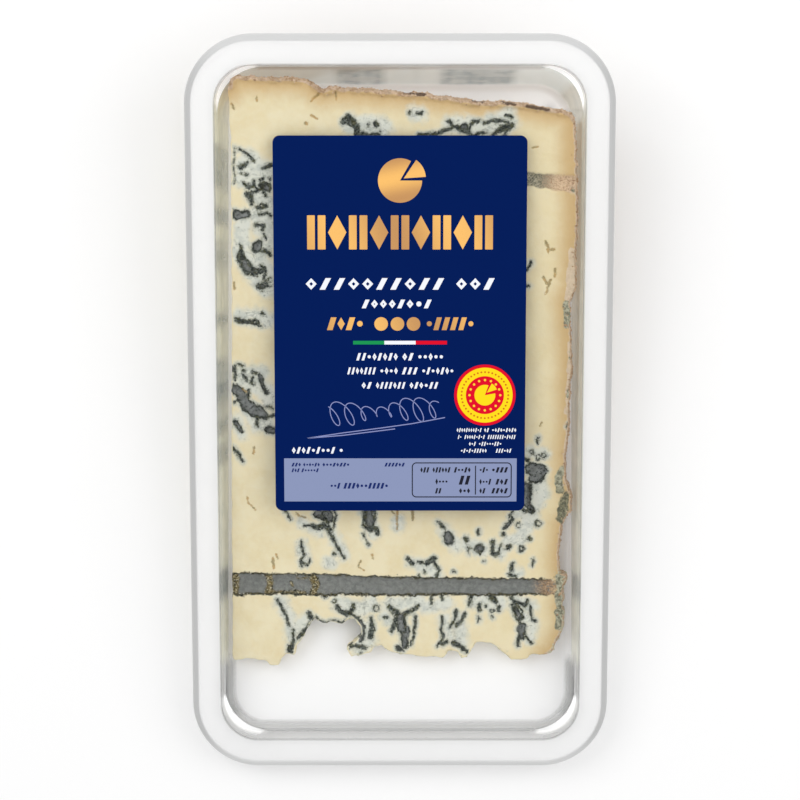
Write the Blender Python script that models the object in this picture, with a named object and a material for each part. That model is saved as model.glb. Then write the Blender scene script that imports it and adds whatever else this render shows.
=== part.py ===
"""Sealed clear tray with a gorgonzola wedge: tray, cheese, lid film and label.

The pack lies on its base with the label up. +Z is up, +Y runs from the thin tip of the
wedge to its rind, and +X is to the right in the photo. Sizes below are in millimetres.
"""

import math

import bmesh
import bpy
import numpy as np
from mathutils import Vector
from mathutils.geometry import delaunay_2d_cdt

MM = 0.001

# Lid plane: the tray is deep under the rind and shallow under the tip of the wedge.
LID_HEIGHT = 18.4
LID_SLOPE = 0.128
LID_ANGLE = math.atan(LID_SLOPE)
PACK_SHIFT_Y = -0.34

# Tray, a thermoformed sheet of even thickness.
SHEET = 0.5
OPENING_WIDTH = 88.9
OPENING_LENGTH = 166.0
OPENING_RADIUS = 9.0
FLANGE_WIDTH = 5.8
LIP_REACH = 1.75
LIP_DROP = 2.7
LEDGE_DEPTH = 4.6
LEDGE_DEPTH_SLOPE = -0.009
LEDGE_RADIUS = 11.3
BASE_INSET_SIDE = 0.8
BASE_INSET_END = 1.2
BASE_RADIUS = 9.4
BASE_FILLET = 2.1
ARC_STEPS = 8

# Lid film and label, both flat on the lid plane.
FILM_GAP = 0.25
FILM_THICK = 0.2
FILM_REACH = 5.3
LABEL_GAP = 0.15
LABEL_THICK = 0.15
LABEL_WIDTH = 61.1
LABEL_LENGTH = 91.2
LABEL_CENTRE_Y = 20.9
LABEL_RADIUS = 1.7

# Cheese: half a wheel's height wide, one radial cut on the floor and one facing up.
CHEESE_GAP = 0.25
CHEESE_HEIGHT = 14.7
CHEESE_SLOPE = 0.16
WALL_CLEARANCE = 0.45

# Outer edge of the rind along the wheel's side, left to right: x, y.
SIDE_RIND = (
    (-41.4, 78.4),
    (-40.9, 80.2),
    (-39.1, 81.2),
    (-35.2, 80.7),
    (-29.0, 80.6),
    (-22.3, 80.3),
    (-18.2, 77.6),
    (-16.0, 78.4),
    (-6.0, 77.6),
    (4.8, 76.9),
    (18.2, 75.2),
    (29.0, 74.4),
    (36.0, 73.5),
    (41.3, 72.2),
)
# Outer edge of the rind along the wheel's flat face, rind end to tip: x, y.
FACE_RIND = (
    (42.3, 70.9),
    (43.0, 51.2),
    (43.1, 29.5),
    (41.6, 26.8),
    (42.2, 17.2),
    (42.3, 9.8),
    (41.9, 2.4),
    (41.9, -5.1),
    (41.1, -10.1),
    (41.2, -17.5),
    (42.8, -21.6),
    (42.6, -25.4),
    (40.3, -29.0),
    (39.9, -34.0),
    (40.0, -41.4),
    (42.2, -42.0),
    (41.4, -44.2),
    (40.6, -45.6),
    (41.4, -48.0),
    (40.6, -50.2),
    (41.5, -51.6),
    (41.0, -55.6),
    (40.0, -58.2),
    (38.2, -62.2),
)
# Crumbled tip of the wedge, right to left: x, y.
BROKEN_TIP = (
    (37.0, -62.5),
    (33.2, -62.4),
    (32.0, -63.8),
    (28.2, -63.8),
    (27.0, -62.5),
    (24.3, -60.3),
    (22.8, -59.3),
    (19.0, -59.3),
    (17.6, -62.2),
    (17.0, -63.3),
    (15.5, -63.3),
    (14.8, -61.8),
    (12.2, -61.6),
    (11.2, -63.1),
    (5.3, -62.9),
    (-0.6, -62.4),
    (-3.0, -61.6),
    (-4.6, -60.2),
    (-6.2, -60.3),
    (-7.6, -62.1),
    (-12.4, -63.3),
    (-13.5, -60.9),
    (-11.6, -59.2),
    (-9.8, -57.6),
    (-9.7, -55.2),
    (-11.2, -53.6),
    (-12.6, -53.2),
    (-14.2, -54.5),
    (-17.4, -54.2),
    (-19.6, -54.5),
    (-21.4, -52.8),
    (-22.7, -55.2),
    (-25.0, -58.6),
    (-26.4, -60.2),
    (-26.7, -62.8),
    (-28.6, -62.2),
    (-30.0, -63.6),
    (-30.4, -65.6),
    (-33.0, -65.2),
    (-33.6, -64.1),
    (-38.6, -63.6),
    (-41.9, -64.0),
)
# The clean cut at mid height of the wheel, tip to rind: x, y.
CLEAN_CUT = (
    (-42.2, -63.2),
    (-41.9, -22.7),
    (-41.1, 27.0),
    (-40.7, 66.0),
    (-41.1, 70.0),
    (-40.9, 74.0),
)

# How each side is rounded over: inset of the cut face, drop to the outline, bulge below it.
EDGES = {
    "side_rind": (1.1, 1.5, 0.3, 0.35),
    "face_rind": (0.6, 0.9, 0.2, 0.28),
    "broken": (0.45, 0.7, -0.1, 0.22),
    "clean": (0.3, 0.4, 0.0, 0.08),
}

# Needle channels that the cut opened, as half pipes: ends, half widths and depth.
CHANNELS = (
    ("lower channel", -45.0, -44.2, 38.4, -45.1, 2.9, 2.0, 1.5),
    ("upper channel", 19.0, 56.2, 45.0, 56.1, 2.2, 2.1, 1.1),
)
# Open cavities: centre, half length, half width, angle in degrees and depth.
CAVITIES = (
    ("cavity under the label corner", 32.8, -18.2, 5.6, 2.4, 80.0, 1.2),
    ("cavity near the tip, right", 29.6, -53.8, 5.0, 2.0, 112.0, 1.1),
    ("branched cavity near the tip", 1.2, -54.6, 5.6, 3.2, 92.0, 1.2),
    ("cavity beside the bay", -8.0, -55.0, 4.6, 1.3, 108.0, 0.9),
    ("crack beside the chip", -25.9, -58.4, 3.8, 0.7, 84.0, 0.8),
    ("diagonal vein, left", -35.4, 3.2, 8.2, 1.3, -52.0, 0.9),
    ("bluish crack, left", -38.0, 23.0, 3.2, 0.8, 4.0, 0.7),
    ("grey pocket, left", -35.2, 38.6, 2.2, 1.6, 70.0, 0.7),
    ("curved vein, left", -36.4, 33.4, 4.0, 1.0, -38.0, 0.6),
    ("pocket row, left", -35.6, 52.6, 3.6, 1.6, 30.0, 0.7),
    ("vein at the top", -10.6, 68.2, 2.8, 1.4, -50.0, 0.6),
    ("vein field at the top", 17.0, 68.0, 7.0, 1.6, -6.0, 0.6),
)


def clear_scene():
    for obj in list(bpy.data.objects):
        bpy.data.objects.remove(obj, do_unlink=True)


def material(name, color, roughness, alpha=1.0):
    made = bpy.data.materials.new(name)
    made.use_nodes = True
    shader = made.node_tree.nodes["Principled BSDF"]
    shader.inputs["Base Color"].default_value = (*color, 1.0)
    shader.inputs["Roughness"].default_value = roughness
    shader.inputs["Alpha"].default_value = alpha
    return made


def add_object(name, points, faces, surface):
    mesh = bpy.data.meshes.new(name)
    placed = [(x * MM, (y + PACK_SHIFT_Y) * MM, z * MM) for x, y, z in points]
    mesh.from_pydata(placed, [], faces)
    mesh.validate()
    work = bmesh.new()
    work.from_mesh(mesh)
    bmesh.ops.recalc_face_normals(work, faces=work.faces)
    work.to_mesh(mesh)
    work.free()
    obj = bpy.data.objects.new(name, mesh)
    obj.data.materials.append(surface)
    bpy.context.scene.collection.objects.link(obj)
    return obj


def lid_z(y):
    return LID_HEIGHT + LID_SLOPE * y


def ledge_z(y):
    return lid_z(y) - LEDGE_DEPTH - LEDGE_DEPTH_SLOPE * y


def on_lid(x, y, height):
    """A point above the lid plane, measured along the plane's own normal."""
    return (x, y - height * math.sin(LID_ANGLE), lid_z(y) + height * math.cos(LID_ANGLE))


def rounded_rectangle(half_width, half_length, radius):
    """The outline's points, anticlockwise from the right side, a fixed count for any size."""
    centre_x = half_width - radius
    centre_y = half_length - radius
    arcs = []
    for turn, (sx, sy) in enumerate(((1, 1), (-1, 1), (-1, -1), (1, -1))):
        arc = []
        for step in range(ARC_STEPS + 1):
            angle = math.radians(90.0 * (turn + step / ARC_STEPS))
            arc.append((sx * centre_x + radius * math.cos(angle), sy * centre_y + radius * math.sin(angle)))
        arcs.append(arc)
    points = []
    for turn, arc in enumerate(arcs):
        points.extend(arc)
        end = arc[-1]
        start = arcs[(turn + 1) % 4][0]
        splits = 2 if turn % 2 == 0 else 4
        for split in range(1, splits):
            share = split / splits
            points.append((end[0] + (start[0] - end[0]) * share, end[1] + (start[1] - end[1]) * share))
    return points


def flange_ring(reach, height, radius_gain=0.0):
    outline = rounded_rectangle(
        OPENING_WIDTH / 2 + reach,
        OPENING_LENGTH / 2 + reach,
        OPENING_RADIUS + reach + radius_gain,
    )
    return [on_lid(x, y, height) for x, y in outline]


def ledge_ring(reach, extra, radius):
    outline = rounded_rectangle(OPENING_WIDTH / 2 + reach, OPENING_LENGTH / 2 + reach, radius)
    return [on_lid(x, y, -(LEDGE_DEPTH + LEDGE_DEPTH_SLOPE * y) - extra) for x, y in outline]


def base_ring(inset, height):
    outline = rounded_rectangle(
        OPENING_WIDTH / 2 - BASE_INSET_SIDE - inset,
        OPENING_LENGTH / 2 - BASE_INSET_END - inset,
        BASE_RADIUS - inset,
    )
    return [(x, y, height) for x, y in outline]


def tray_inside():
    """Rings of the tray's upper face, from the lip's edge inwards and down to the floor."""
    outer = FLANGE_WIDTH + LIP_REACH
    rings = [
        flange_ring(outer, -LIP_DROP),
        flange_ring(outer - 0.15, -1.5),
        flange_ring(outer - 0.55, -0.6),
        flange_ring(outer - 1.1, -0.15),
        flange_ring(FLANGE_WIDTH, 0.0),
        flange_ring(0.7, 0.0),
        flange_ring(0.2, -0.15),
        flange_ring(0.0, -0.6),
        ledge_ring(-0.12, 0.0, OPENING_RADIUS),
        ledge_ring(-0.3, 0.25, LEDGE_RADIUS),
        base_ring(0.0, SHEET + BASE_FILLET),
    ]
    for step in range(1, 5):
        angle = math.radians(22.5 * step)
        inset = BASE_FILLET * (1.0 - math.cos(angle))
        height = SHEET + BASE_FILLET * (1.0 - math.sin(angle))
        rings.append(base_ring(inset, height))
    return rings


def vertex_normals(rings):
    """Normals on the outer side of the sheet, from each ring's own profile direction."""
    count = len(rings[0])
    grid = np.array(rings)
    normals = np.zeros_like(grid)
    last = len(rings) - 1
    for i in range(last + 1):
        before = grid[i] - grid[max(i - 1, 0)]
        after = grid[min(i + 1, last)] - grid[i]
        around = np.roll(grid[i], -1, axis=0) - np.roll(grid[i], 1, axis=0)
        for j in range(count):
            total = np.zeros(3)
            for along in (before[j], after[j]):
                size = np.linalg.norm(along)
                if size > 1e-9:
                    normal = np.cross(along / size, around[j])
                    total += normal / np.linalg.norm(normal)
            normals[i, j] = total / np.linalg.norm(total)
    return normals


def make_tray(surface):
    inside = tray_inside()
    normals = vertex_normals(inside)
    outside = [
        [tuple(np.array(p) + SHEET * n) for p, n in zip(ring, ring_normals)]
        for ring, ring_normals in zip(inside, normals)
    ]
    # The floor is flat on both sides, so its outer ring drops straight down.
    outside[-1] = [(x, y, 0.0) for x, y, _ in inside[-1]]
    count = len(inside[0])
    points = [p for ring in inside for p in ring]
    points += [p for ring in outside for p in ring]
    faces = []
    layers = len(inside)
    for side in (0, 1):
        start = side * layers * count
        for i in range(layers - 1):
            for j in range(count):
                a = start + i * count + j
                b = start + i * count + (j + 1) % count
                faces.append((a, b, b + count, a + count))
        faces.append(tuple(start + (layers - 1) * count + j for j in range(count)))
    for j in range(count):
        k = (j + 1) % count
        faces.append((j, k, layers * count + k, layers * count + j))
    return add_object("tray", points, faces, surface)


def make_plate(name, outline, low, high, surface):
    """A flat plate on the lid plane between two heights."""
    count = len(outline)
    points = [on_lid(x, y, low) for x, y in outline]
    points += [on_lid(x, y, high) for x, y in outline]
    faces = [tuple(range(count)), tuple(range(count, 2 * count))]
    for j in range(count):
        k = (j + 1) % count
        faces.append((j, k, count + k, count + j))
    return add_object(name, points, faces, surface)


def hashed(i, j, seed):
    value = math.sin(i * 127.1 + j * 311.7 + seed * 74.7) * 43758.5453
    return value - math.floor(value)


def value_noise(x, y, size, seed):
    """Smooth seeded noise between -1 and 1."""
    u = x / size
    v = y / size
    i = math.floor(u)
    j = math.floor(v)
    fu = u - i
    fv = v - j
    fu = fu * fu * (3.0 - 2.0 * fu)
    fv = fv * fv * (3.0 - 2.0 * fv)
    low = hashed(i, j, seed) * (1 - fu) + hashed(i + 1, j, seed) * fu
    high = hashed(i, j + 1, seed) * (1 - fu) + hashed(i + 1, j + 1, seed) * fu
    return 2.0 * (low * (1 - fv) + high * fv) - 1.0


def smooth(low, high, value):
    share = min(max((value - low) / (high - low), 0.0), 1.0)
    return share * share * (3.0 - 2.0 * share)


def channel_dent(x, y):
    deepest = 0.0
    for _, x0, y0, x1, y1, half0, half1, depth in CHANNELS:
        share = (x - x0) / (x1 - x0)
        if share < -0.02 or share > 1.02:
            continue
        middle = y0 + (y1 - y0) * share + 0.15 * value_noise(x, 0.0, 7.0, 3)
        half = half0 + (half1 - half0) * share + 0.2 * value_noise(x, 5.0, 3.0, 4)
        across = abs(y - middle) / half
        if across < 1.0:
            ends = smooth(-0.02, 0.02, share) * smooth(1.02, 0.94, share)
            deepest = max(deepest, depth * ends * min(1.0, 1.6 * math.sqrt(1.0 - across * across)))
    return deepest


def cavity_dent(x, y):
    deepest = 0.0
    for _, cx, cy, half_long, half_wide, degrees, depth in CAVITIES:
        dx = x - cx
        dy = y - cy
        if dx * dx + dy * dy > (half_long + 1.0) ** 2:
            continue
        angle = math.radians(degrees)
        along = (dx * math.cos(angle) + dy * math.sin(angle)) / half_long
        across = (-dx * math.sin(angle) + dy * math.cos(angle)) / half_wide
        reach = math.hypot(along, across) + 0.25 * value_noise(x, y, 1.6, 8)
        deepest = max(deepest, depth * smooth(1.0, 0.55, reach))
    return deepest


def top_height(x, y):
    lumps = 0.22 * value_noise(x, y, 9.0, 1) + 0.1 * value_noise(x, y, 3.5, 2)
    return CHEESE_HEIGHT + CHEESE_SLOPE * y + lumps - max(channel_dent(x, y), cavity_dent(x, y))


def wall_limit(x, y, z):
    """Move a point of the cheese inwards until it is clear of the tray's wall."""
    for _ in range(3):
        share = min(max(z / lid_z(y), 0.0), 1.0)
        above_ledge = z > ledge_z(y) + 0.6
        radius = OPENING_RADIUS if above_ledge else BASE_RADIUS + (LEDGE_RADIUS - BASE_RADIUS) * share
        half_x = OPENING_WIDTH / 2 - BASE_INSET_SIDE * (1.0 - share) - 0.35
        half_y = OPENING_LENGTH / 2 - BASE_INSET_END * (1.0 - share) - 0.35
        low = z - SHEET
        if low < BASE_FILLET:
            fillet = BASE_FILLET - math.sqrt(max(BASE_FILLET**2 - (BASE_FILLET - low) ** 2, 0.0))
            half_x -= fillet
            half_y -= fillet
            radius -= fillet
        qx = abs(x) - (half_x - radius)
        qy = abs(y) - (half_y - radius)
        distance = math.hypot(max(qx, 0.0), max(qy, 0.0)) + min(max(qx, qy), 0.0) - radius
        over = distance + WALL_CLEARANCE
        if over <= 0.0:
            break
        if qx > 0.0 and qy > 0.0:
            size = math.hypot(qx, qy)
            step_x, step_y = qx / size, qy / size
        elif qx > qy:
            step_x, step_y = 1.0, 0.0
        else:
            step_x, step_y = 0.0, 1.0
        x -= math.copysign(step_x * over, x)
        y -= math.copysign(step_y * over, y)
    return (x, y, z)


def cheese_outline(spacing):
    """Points and side names round the cheese, clockwise from the rind's left end."""
    sides = (
        ("side_rind", SIDE_RIND, 1.9),
        ("face_rind", FACE_RIND, 1.9),
        ("broken", BROKEN_TIP, 1.15),
        ("clean", CLEAN_CUT, 3.2),
    )
    points = []
    names = []
    for index, (name, landmarks, finer) in enumerate(sides):
        following = sides[(index + 1) % len(sides)][1][0]
        run = [*landmarks, following]
        for a, b in zip(run[:-1], run[1:]):
            length = math.hypot(b[0] - a[0], b[1] - a[1])
            steps = max(1, round(length / (spacing * finer)))
            for step in range(steps):
                share = step / steps
                points.append((a[0] + (b[0] - a[0]) * share, a[1] + (b[1] - a[1]) * share))
                names.append(name)
    rough = {"side_rind": 0.28, "face_rind": 0.22, "broken": 0.16, "clean": 0.1}
    normals = outline_normals(points)
    moved = []
    for (x, y), (nx, ny), name in zip(points, normals, names):
        push = rough[name] * value_noise(x, y, 1.7, 11)
        moved.append((x + nx * push, y + ny * push))
    return moved, names


def outline_normals(points):
    """Outward normals of a clockwise outline."""
    count = len(points)
    normals = []
    for i in range(count):
        ax, ay = points[i - 1]
        bx, by = points[(i + 1) % count]
        dx, dy = bx - ax, by - ay
        size = math.hypot(dx, dy)
        normals.append((-dy / size, dx / size))
    return normals


def inside_outline(x, y, outline):
    found = False
    count = len(outline)
    for i in range(count):
        ax, ay = outline[i]
        bx, by = outline[i - 1]
        if (ay > y) != (by > y) and x < (bx - ax) * (y - ay) / (by - ay) + ax:
            found = not found
    return found


def nearest_outline(x, y, outline):
    return min((x - ax) ** 2 + (y - ay) ** 2 for ax, ay in outline)


def filled(outline, inner):
    """Triangles inside an outline, through the inner points."""
    count = len(outline)
    points = [Vector(p) for p in outline] + [Vector(p) for p in inner]
    edges = [(i, (i + 1) % count) for i in range(count)]
    found = delaunay_2d_cdt(points, edges, [], 1, 1e-7, True)
    made, _, triangles, origins = found[0], found[1], found[2], found[3]
    if len(made) != len(points):
        raise ValueError("the outline crosses itself")
    back = [origin[0] for origin in origins]
    kept = []
    for triangle in triangles:
        middle = (made[triangle[0]] + made[triangle[1]] + made[triangle[2]]) / 3
        if inside_outline(middle.x, middle.y, outline):
            kept.append(tuple(back[v] for v in triangle))
    return kept


def inner_points(outline, spacing, fine):
    """A staggered grid inside the outline, finer where the surface is dented."""
    found = []
    xs = [p[0] for p in outline]
    ys = [p[1] for p in outline]
    for step, keep_dented in ((spacing, False), (fine, True)):
        row = 0
        y = min(ys) + step / 2
        while y < max(ys):
            x = min(xs) + step * (0.5 if row % 2 else 1.0)
            while x < max(xs):
                near = max(channel_dent(x, y), cavity_dent(x, y))
                wide = max(
                    max(channel_dent(x + dx, y + dy), cavity_dent(x + dx, y + dy))
                    for dx, dy in ((fine, 0), (-fine, 0), (0, fine), (0, -fine))
                )
                dented = max(near, wide) > 0.05
                if dented == keep_dented and inside_outline(x, y, outline):
                    if nearest_outline(x, y, outline) > (0.62 * step) ** 2:
                        found.append((x, y))
                x += step
            y += step * 0.87
            row += 1
    return found


def make_cheese(surface):
    outline, names = cheese_outline(1.0)
    normals = outline_normals(outline)
    cut = []
    for (x, y), (nx, ny), name in zip(outline, normals, names):
        inset = EDGES[name][0]
        cut.append((x - nx * inset, y - ny * inset))
    inner = inner_points(cut, 3.1, 1.35)
    count = len(outline)
    points = []
    for x, y in [*cut, *inner]:
        px, py, _ = wall_limit(x, y, top_height(x, y))
        points.append((px, py, top_height(px, py)))
    faces = list(filled(cut, inner))
    floor = SHEET + CHEESE_GAP
    rings = [list(range(count))]
    for layer in range(4):
        ring = []
        for (x, y), (nx, ny), name in zip(outline, normals, names):
            _, drop, bulge, rough = EDGES[name]
            top = CHEESE_HEIGHT + CHEESE_SLOPE * y
            thick = top - floor
            drop = min(drop, 0.3 * thick)
            if layer == 0:
                out, height = 0.0, top - drop
            elif layer == 1:
                out, height = 0.3 * bulge, min(top - drop - 0.12 * thick, ledge_z(y) + 0.35)
            elif layer == 2:
                out, height = bulge + rough * value_noise(x * 1.3, y * 1.3, 2.3, 21), floor + 0.45 * thick
            else:
                out, height = 0.5 * bulge + rough * value_noise(x, y, 2.9, 22), floor
            ring.append(len(points))
            points.append(wall_limit(x + nx * out, y + ny * out, height))
        rings.append(ring)
    for upper, lower in zip(rings[:-1], rings[1:]):
        for j in range(count):
            k = (j + 1) % count
            faces.append((upper[j], upper[k], lower[k], lower[j]))
    bottom = [points[v][:2] for v in rings[-1]]
    faces += [tuple(rings[-1][v] for v in triangle) for triangle in filled(bottom, [])]
    return add_object("cheese_wedge", points, faces, surface)


def main():
    clear_scene()
    clear_plastic = material("clear_tray", (0.9, 0.92, 0.92), 0.08, 0.3)
    clear_film = material("clear_film", (0.94, 0.95, 0.95), 0.08, 0.2)
    cheese = material("blue_cheese", (0.68, 0.6, 0.4), 0.55)
    navy = material("navy_label", (0.0, 0.012, 0.1), 0.35)
    make_tray(clear_plastic)
    make_cheese(cheese)
    reach = FILM_REACH
    film_outline = rounded_rectangle(
        OPENING_WIDTH / 2 + reach, OPENING_LENGTH / 2 + reach, OPENING_RADIUS + reach
    )
    make_plate("lid_film", film_outline, FILM_GAP, FILM_GAP + FILM_THICK, clear_film)
    label_outline = [
        (x, y + LABEL_CENTRE_Y) for x, y in rounded_rectangle(LABEL_WIDTH / 2, LABEL_LENGTH / 2, LABEL_RADIUS)
    ]
    label_low = FILM_GAP + FILM_THICK + LABEL_GAP
    make_plate("label", label_outline, label_low, label_low + LABEL_THICK, navy)


main()
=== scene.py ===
"""Looks of a sealed pack: a wedge of blue cheese in a clear tray, under a film with a printed label.

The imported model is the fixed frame. Shapes below are given in millimetres in the pack's own
drawing frame, whose middle lies PACK_SHIFT_Y from the frame's, and become metres when a mesh
is made. +Y runs from the thin tip of the wedge to its rind, +X is to the right, +Z is up.
"""

import math
import random

import bmesh
import bpy
import numpy as np
from bpy.props import FloatProperty, FloatVectorProperty, IntProperty, PointerProperty
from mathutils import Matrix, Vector
from mathutils.geometry import delaunay_2d_cdt


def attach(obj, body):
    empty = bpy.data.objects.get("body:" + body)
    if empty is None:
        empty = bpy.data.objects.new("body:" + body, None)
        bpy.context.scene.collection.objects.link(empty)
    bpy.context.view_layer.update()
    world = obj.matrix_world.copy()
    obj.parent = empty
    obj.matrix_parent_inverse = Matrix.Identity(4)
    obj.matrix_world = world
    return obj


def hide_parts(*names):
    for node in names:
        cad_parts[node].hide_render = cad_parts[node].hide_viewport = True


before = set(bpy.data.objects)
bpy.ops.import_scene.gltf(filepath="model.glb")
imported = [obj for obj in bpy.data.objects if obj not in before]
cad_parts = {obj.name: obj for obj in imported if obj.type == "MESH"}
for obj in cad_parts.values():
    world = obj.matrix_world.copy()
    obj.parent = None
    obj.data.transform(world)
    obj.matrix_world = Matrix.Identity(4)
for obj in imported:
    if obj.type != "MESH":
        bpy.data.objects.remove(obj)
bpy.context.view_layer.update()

bl_info = {
    "name": "Cheese Pack Looks",
    "version": (1, 0, 0),
    "blender": (4, 5, 0),
    "location": "3D View > Sidebar > Cheese Pack",
    "description": "Dresses a packed wedge of blue cheese: tray, cheese, film, label and studio",
    "category": "Object",
}

MM = 0.001
PER_SQUARE_CENTIMETRE = 1e4
PACK_SHIFT_Y = -0.34
BODY = "root"
# Distances to strokes are measured up to FAR, and the cheese's material reads them up to GAP_LIMIT.
FAR = 12.0
GAP_LIMIT = 6.0

# Lid plane: the tray is deep under the rind and shallow under the tip of the wedge.
LID_HEIGHT = 18.4
LID_SLOPE = 0.128
LID_ANGLE = math.atan(LID_SLOPE)

# Tray, a thermoformed sheet.
SHEET = 0.5
OPENING_WIDTH = 88.9
OPENING_LENGTH = 166.0
OPENING_RADIUS = 9.0
FLANGE_WIDTH = 5.8
LIP_REACH = 1.75
LIP_DROP = 2.7
LEDGE_DEPTH = 4.6
LEDGE_DEPTH_SLOPE = -0.009
LEDGE_RADIUS = 11.3
BASE_INSET_SIDE = 0.8
BASE_INSET_END = 1.2
BASE_RADIUS = 9.4
BASE_FILLET = 2.1
FILLET_STEPS = 8

# Lid film and label, both flat on the lid plane.
FILM_LOW = 0.25
FILM_HIGH = 0.45
FILM_REACH = 5.3
LABEL_LOW = 0.6
LABEL_HIGH = 0.75
LABEL_WIDTH = 61.1
LABEL_LENGTH = 91.2
LABEL_CENTRE_Y = 20.9
LABEL_RADIUS = 1.7

# Cheese: the cut face rises towards the rind.
CHEESE_GAP = 0.25
CHEESE_HEIGHT = 14.7
CHEESE_SLOPE = 0.16
WALL_CLEARANCE = 0.45
# Lines on the cut face whose colours are painted on the tray's left, right and rear walls as a painted
# reflection.
PAINTED_REFLECTION_LEFT = -39.9
PAINTED_REFLECTION_RIGHT = 38.5
PAINTED_REFLECTION_REAR = 69.5

# Outer edge of the rind along the wheel's side, left to right: x, y.
SIDE_RIND = (
    (-41.4, 78.4), (-40.9, 80.2), (-39.1, 81.2), (-35.2, 80.7), (-29.0, 80.6), (-22.3, 80.3),
    (-18.2, 77.6), (-16.0, 78.4), (-6.0, 77.6), (4.8, 76.9), (18.2, 75.2), (29.0, 74.4),
    (36.0, 73.5), (41.3, 72.2),
)
# Outer edge of the rind along the wheel's flat face, rind end to tip: x, y.
FACE_RIND = (
    (42.3, 70.9), (43.0, 51.2), (43.1, 29.5), (41.6, 26.8), (42.2, 17.2), (42.3, 9.8),
    (41.9, 2.4), (41.9, -5.1), (41.1, -10.1), (41.2, -17.5), (42.8, -21.6), (42.6, -25.4),
    (40.3, -29.0), (39.9, -34.0), (40.0, -41.4), (42.2, -42.0), (41.4, -44.2), (40.6, -45.6),
    (41.4, -48.0), (40.6, -50.2), (41.5, -51.6), (41.0, -55.6), (40.0, -58.2), (38.2, -62.2),
)
# Crumbled tip of the wedge, right to left: x, y.
BROKEN_TIP = (
    (37.0, -62.5), (33.2, -62.4), (32.0, -63.8), (28.2, -63.8), (27.0, -62.5), (24.3, -60.3),
    (22.8, -59.3), (19.0, -59.3), (17.6, -62.2), (17.0, -63.3), (15.5, -63.3), (14.8, -61.8),
    (12.2, -61.6), (11.2, -63.1), (5.3, -62.9), (-0.6, -62.4), (-3.0, -61.6), (-4.6, -60.2),
    (-6.2, -60.3), (-7.6, -62.1), (-12.4, -63.3), (-13.5, -60.9), (-11.6, -59.2), (-9.8, -57.6),
    (-9.7, -55.2), (-11.2, -53.6), (-12.6, -53.2), (-14.2, -54.5), (-17.4, -54.2), (-19.6, -54.5),
    (-21.4, -52.8), (-22.7, -55.2), (-25.0, -58.6), (-26.4, -60.2), (-26.7, -62.8), (-28.6, -62.2),
    (-30.0, -63.6), (-30.4, -65.6), (-33.0, -65.2), (-33.6, -64.1), (-38.6, -63.6), (-41.9, -64.0),
)
# The clean cut at mid height of the wheel, tip to rind: x, y.
CLEAN_CUT = (
    (-42.2, -63.2), (-41.9, -22.7), (-41.1, 27.0), (-40.7, 66.0), (-41.1, 70.0), (-40.9, 74.0),
)
# How each side is rounded over: inset of the cut face, drop to the outline, bulge, roughness.
EDGES = {
    "side_rind": (1.1, 1.5, 0.3, 0.35),
    "face_rind": (0.6, 0.9, 0.2, 0.28),
    "broken": (0.45, 0.7, -0.1, 0.22),
    "clean": (0.3, 0.4, 0.0, 0.08),
}
OUTLINE_ROUGHNESS = {"side_rind": 0.28, "face_rind": 0.22, "broken": 0.26, "clean": 0.12}

# Needle channels that the cut opened: ends, half widths, depth.
LOWER_CHANNEL = (-45.0, -44.2, 40.8, -45.1, 2.9, 1.9, 1.5)
UPPER_CHANNEL = (19.0, 57.5, 45.0, 54.6, 1.2, 2.1, 1.1)

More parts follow.
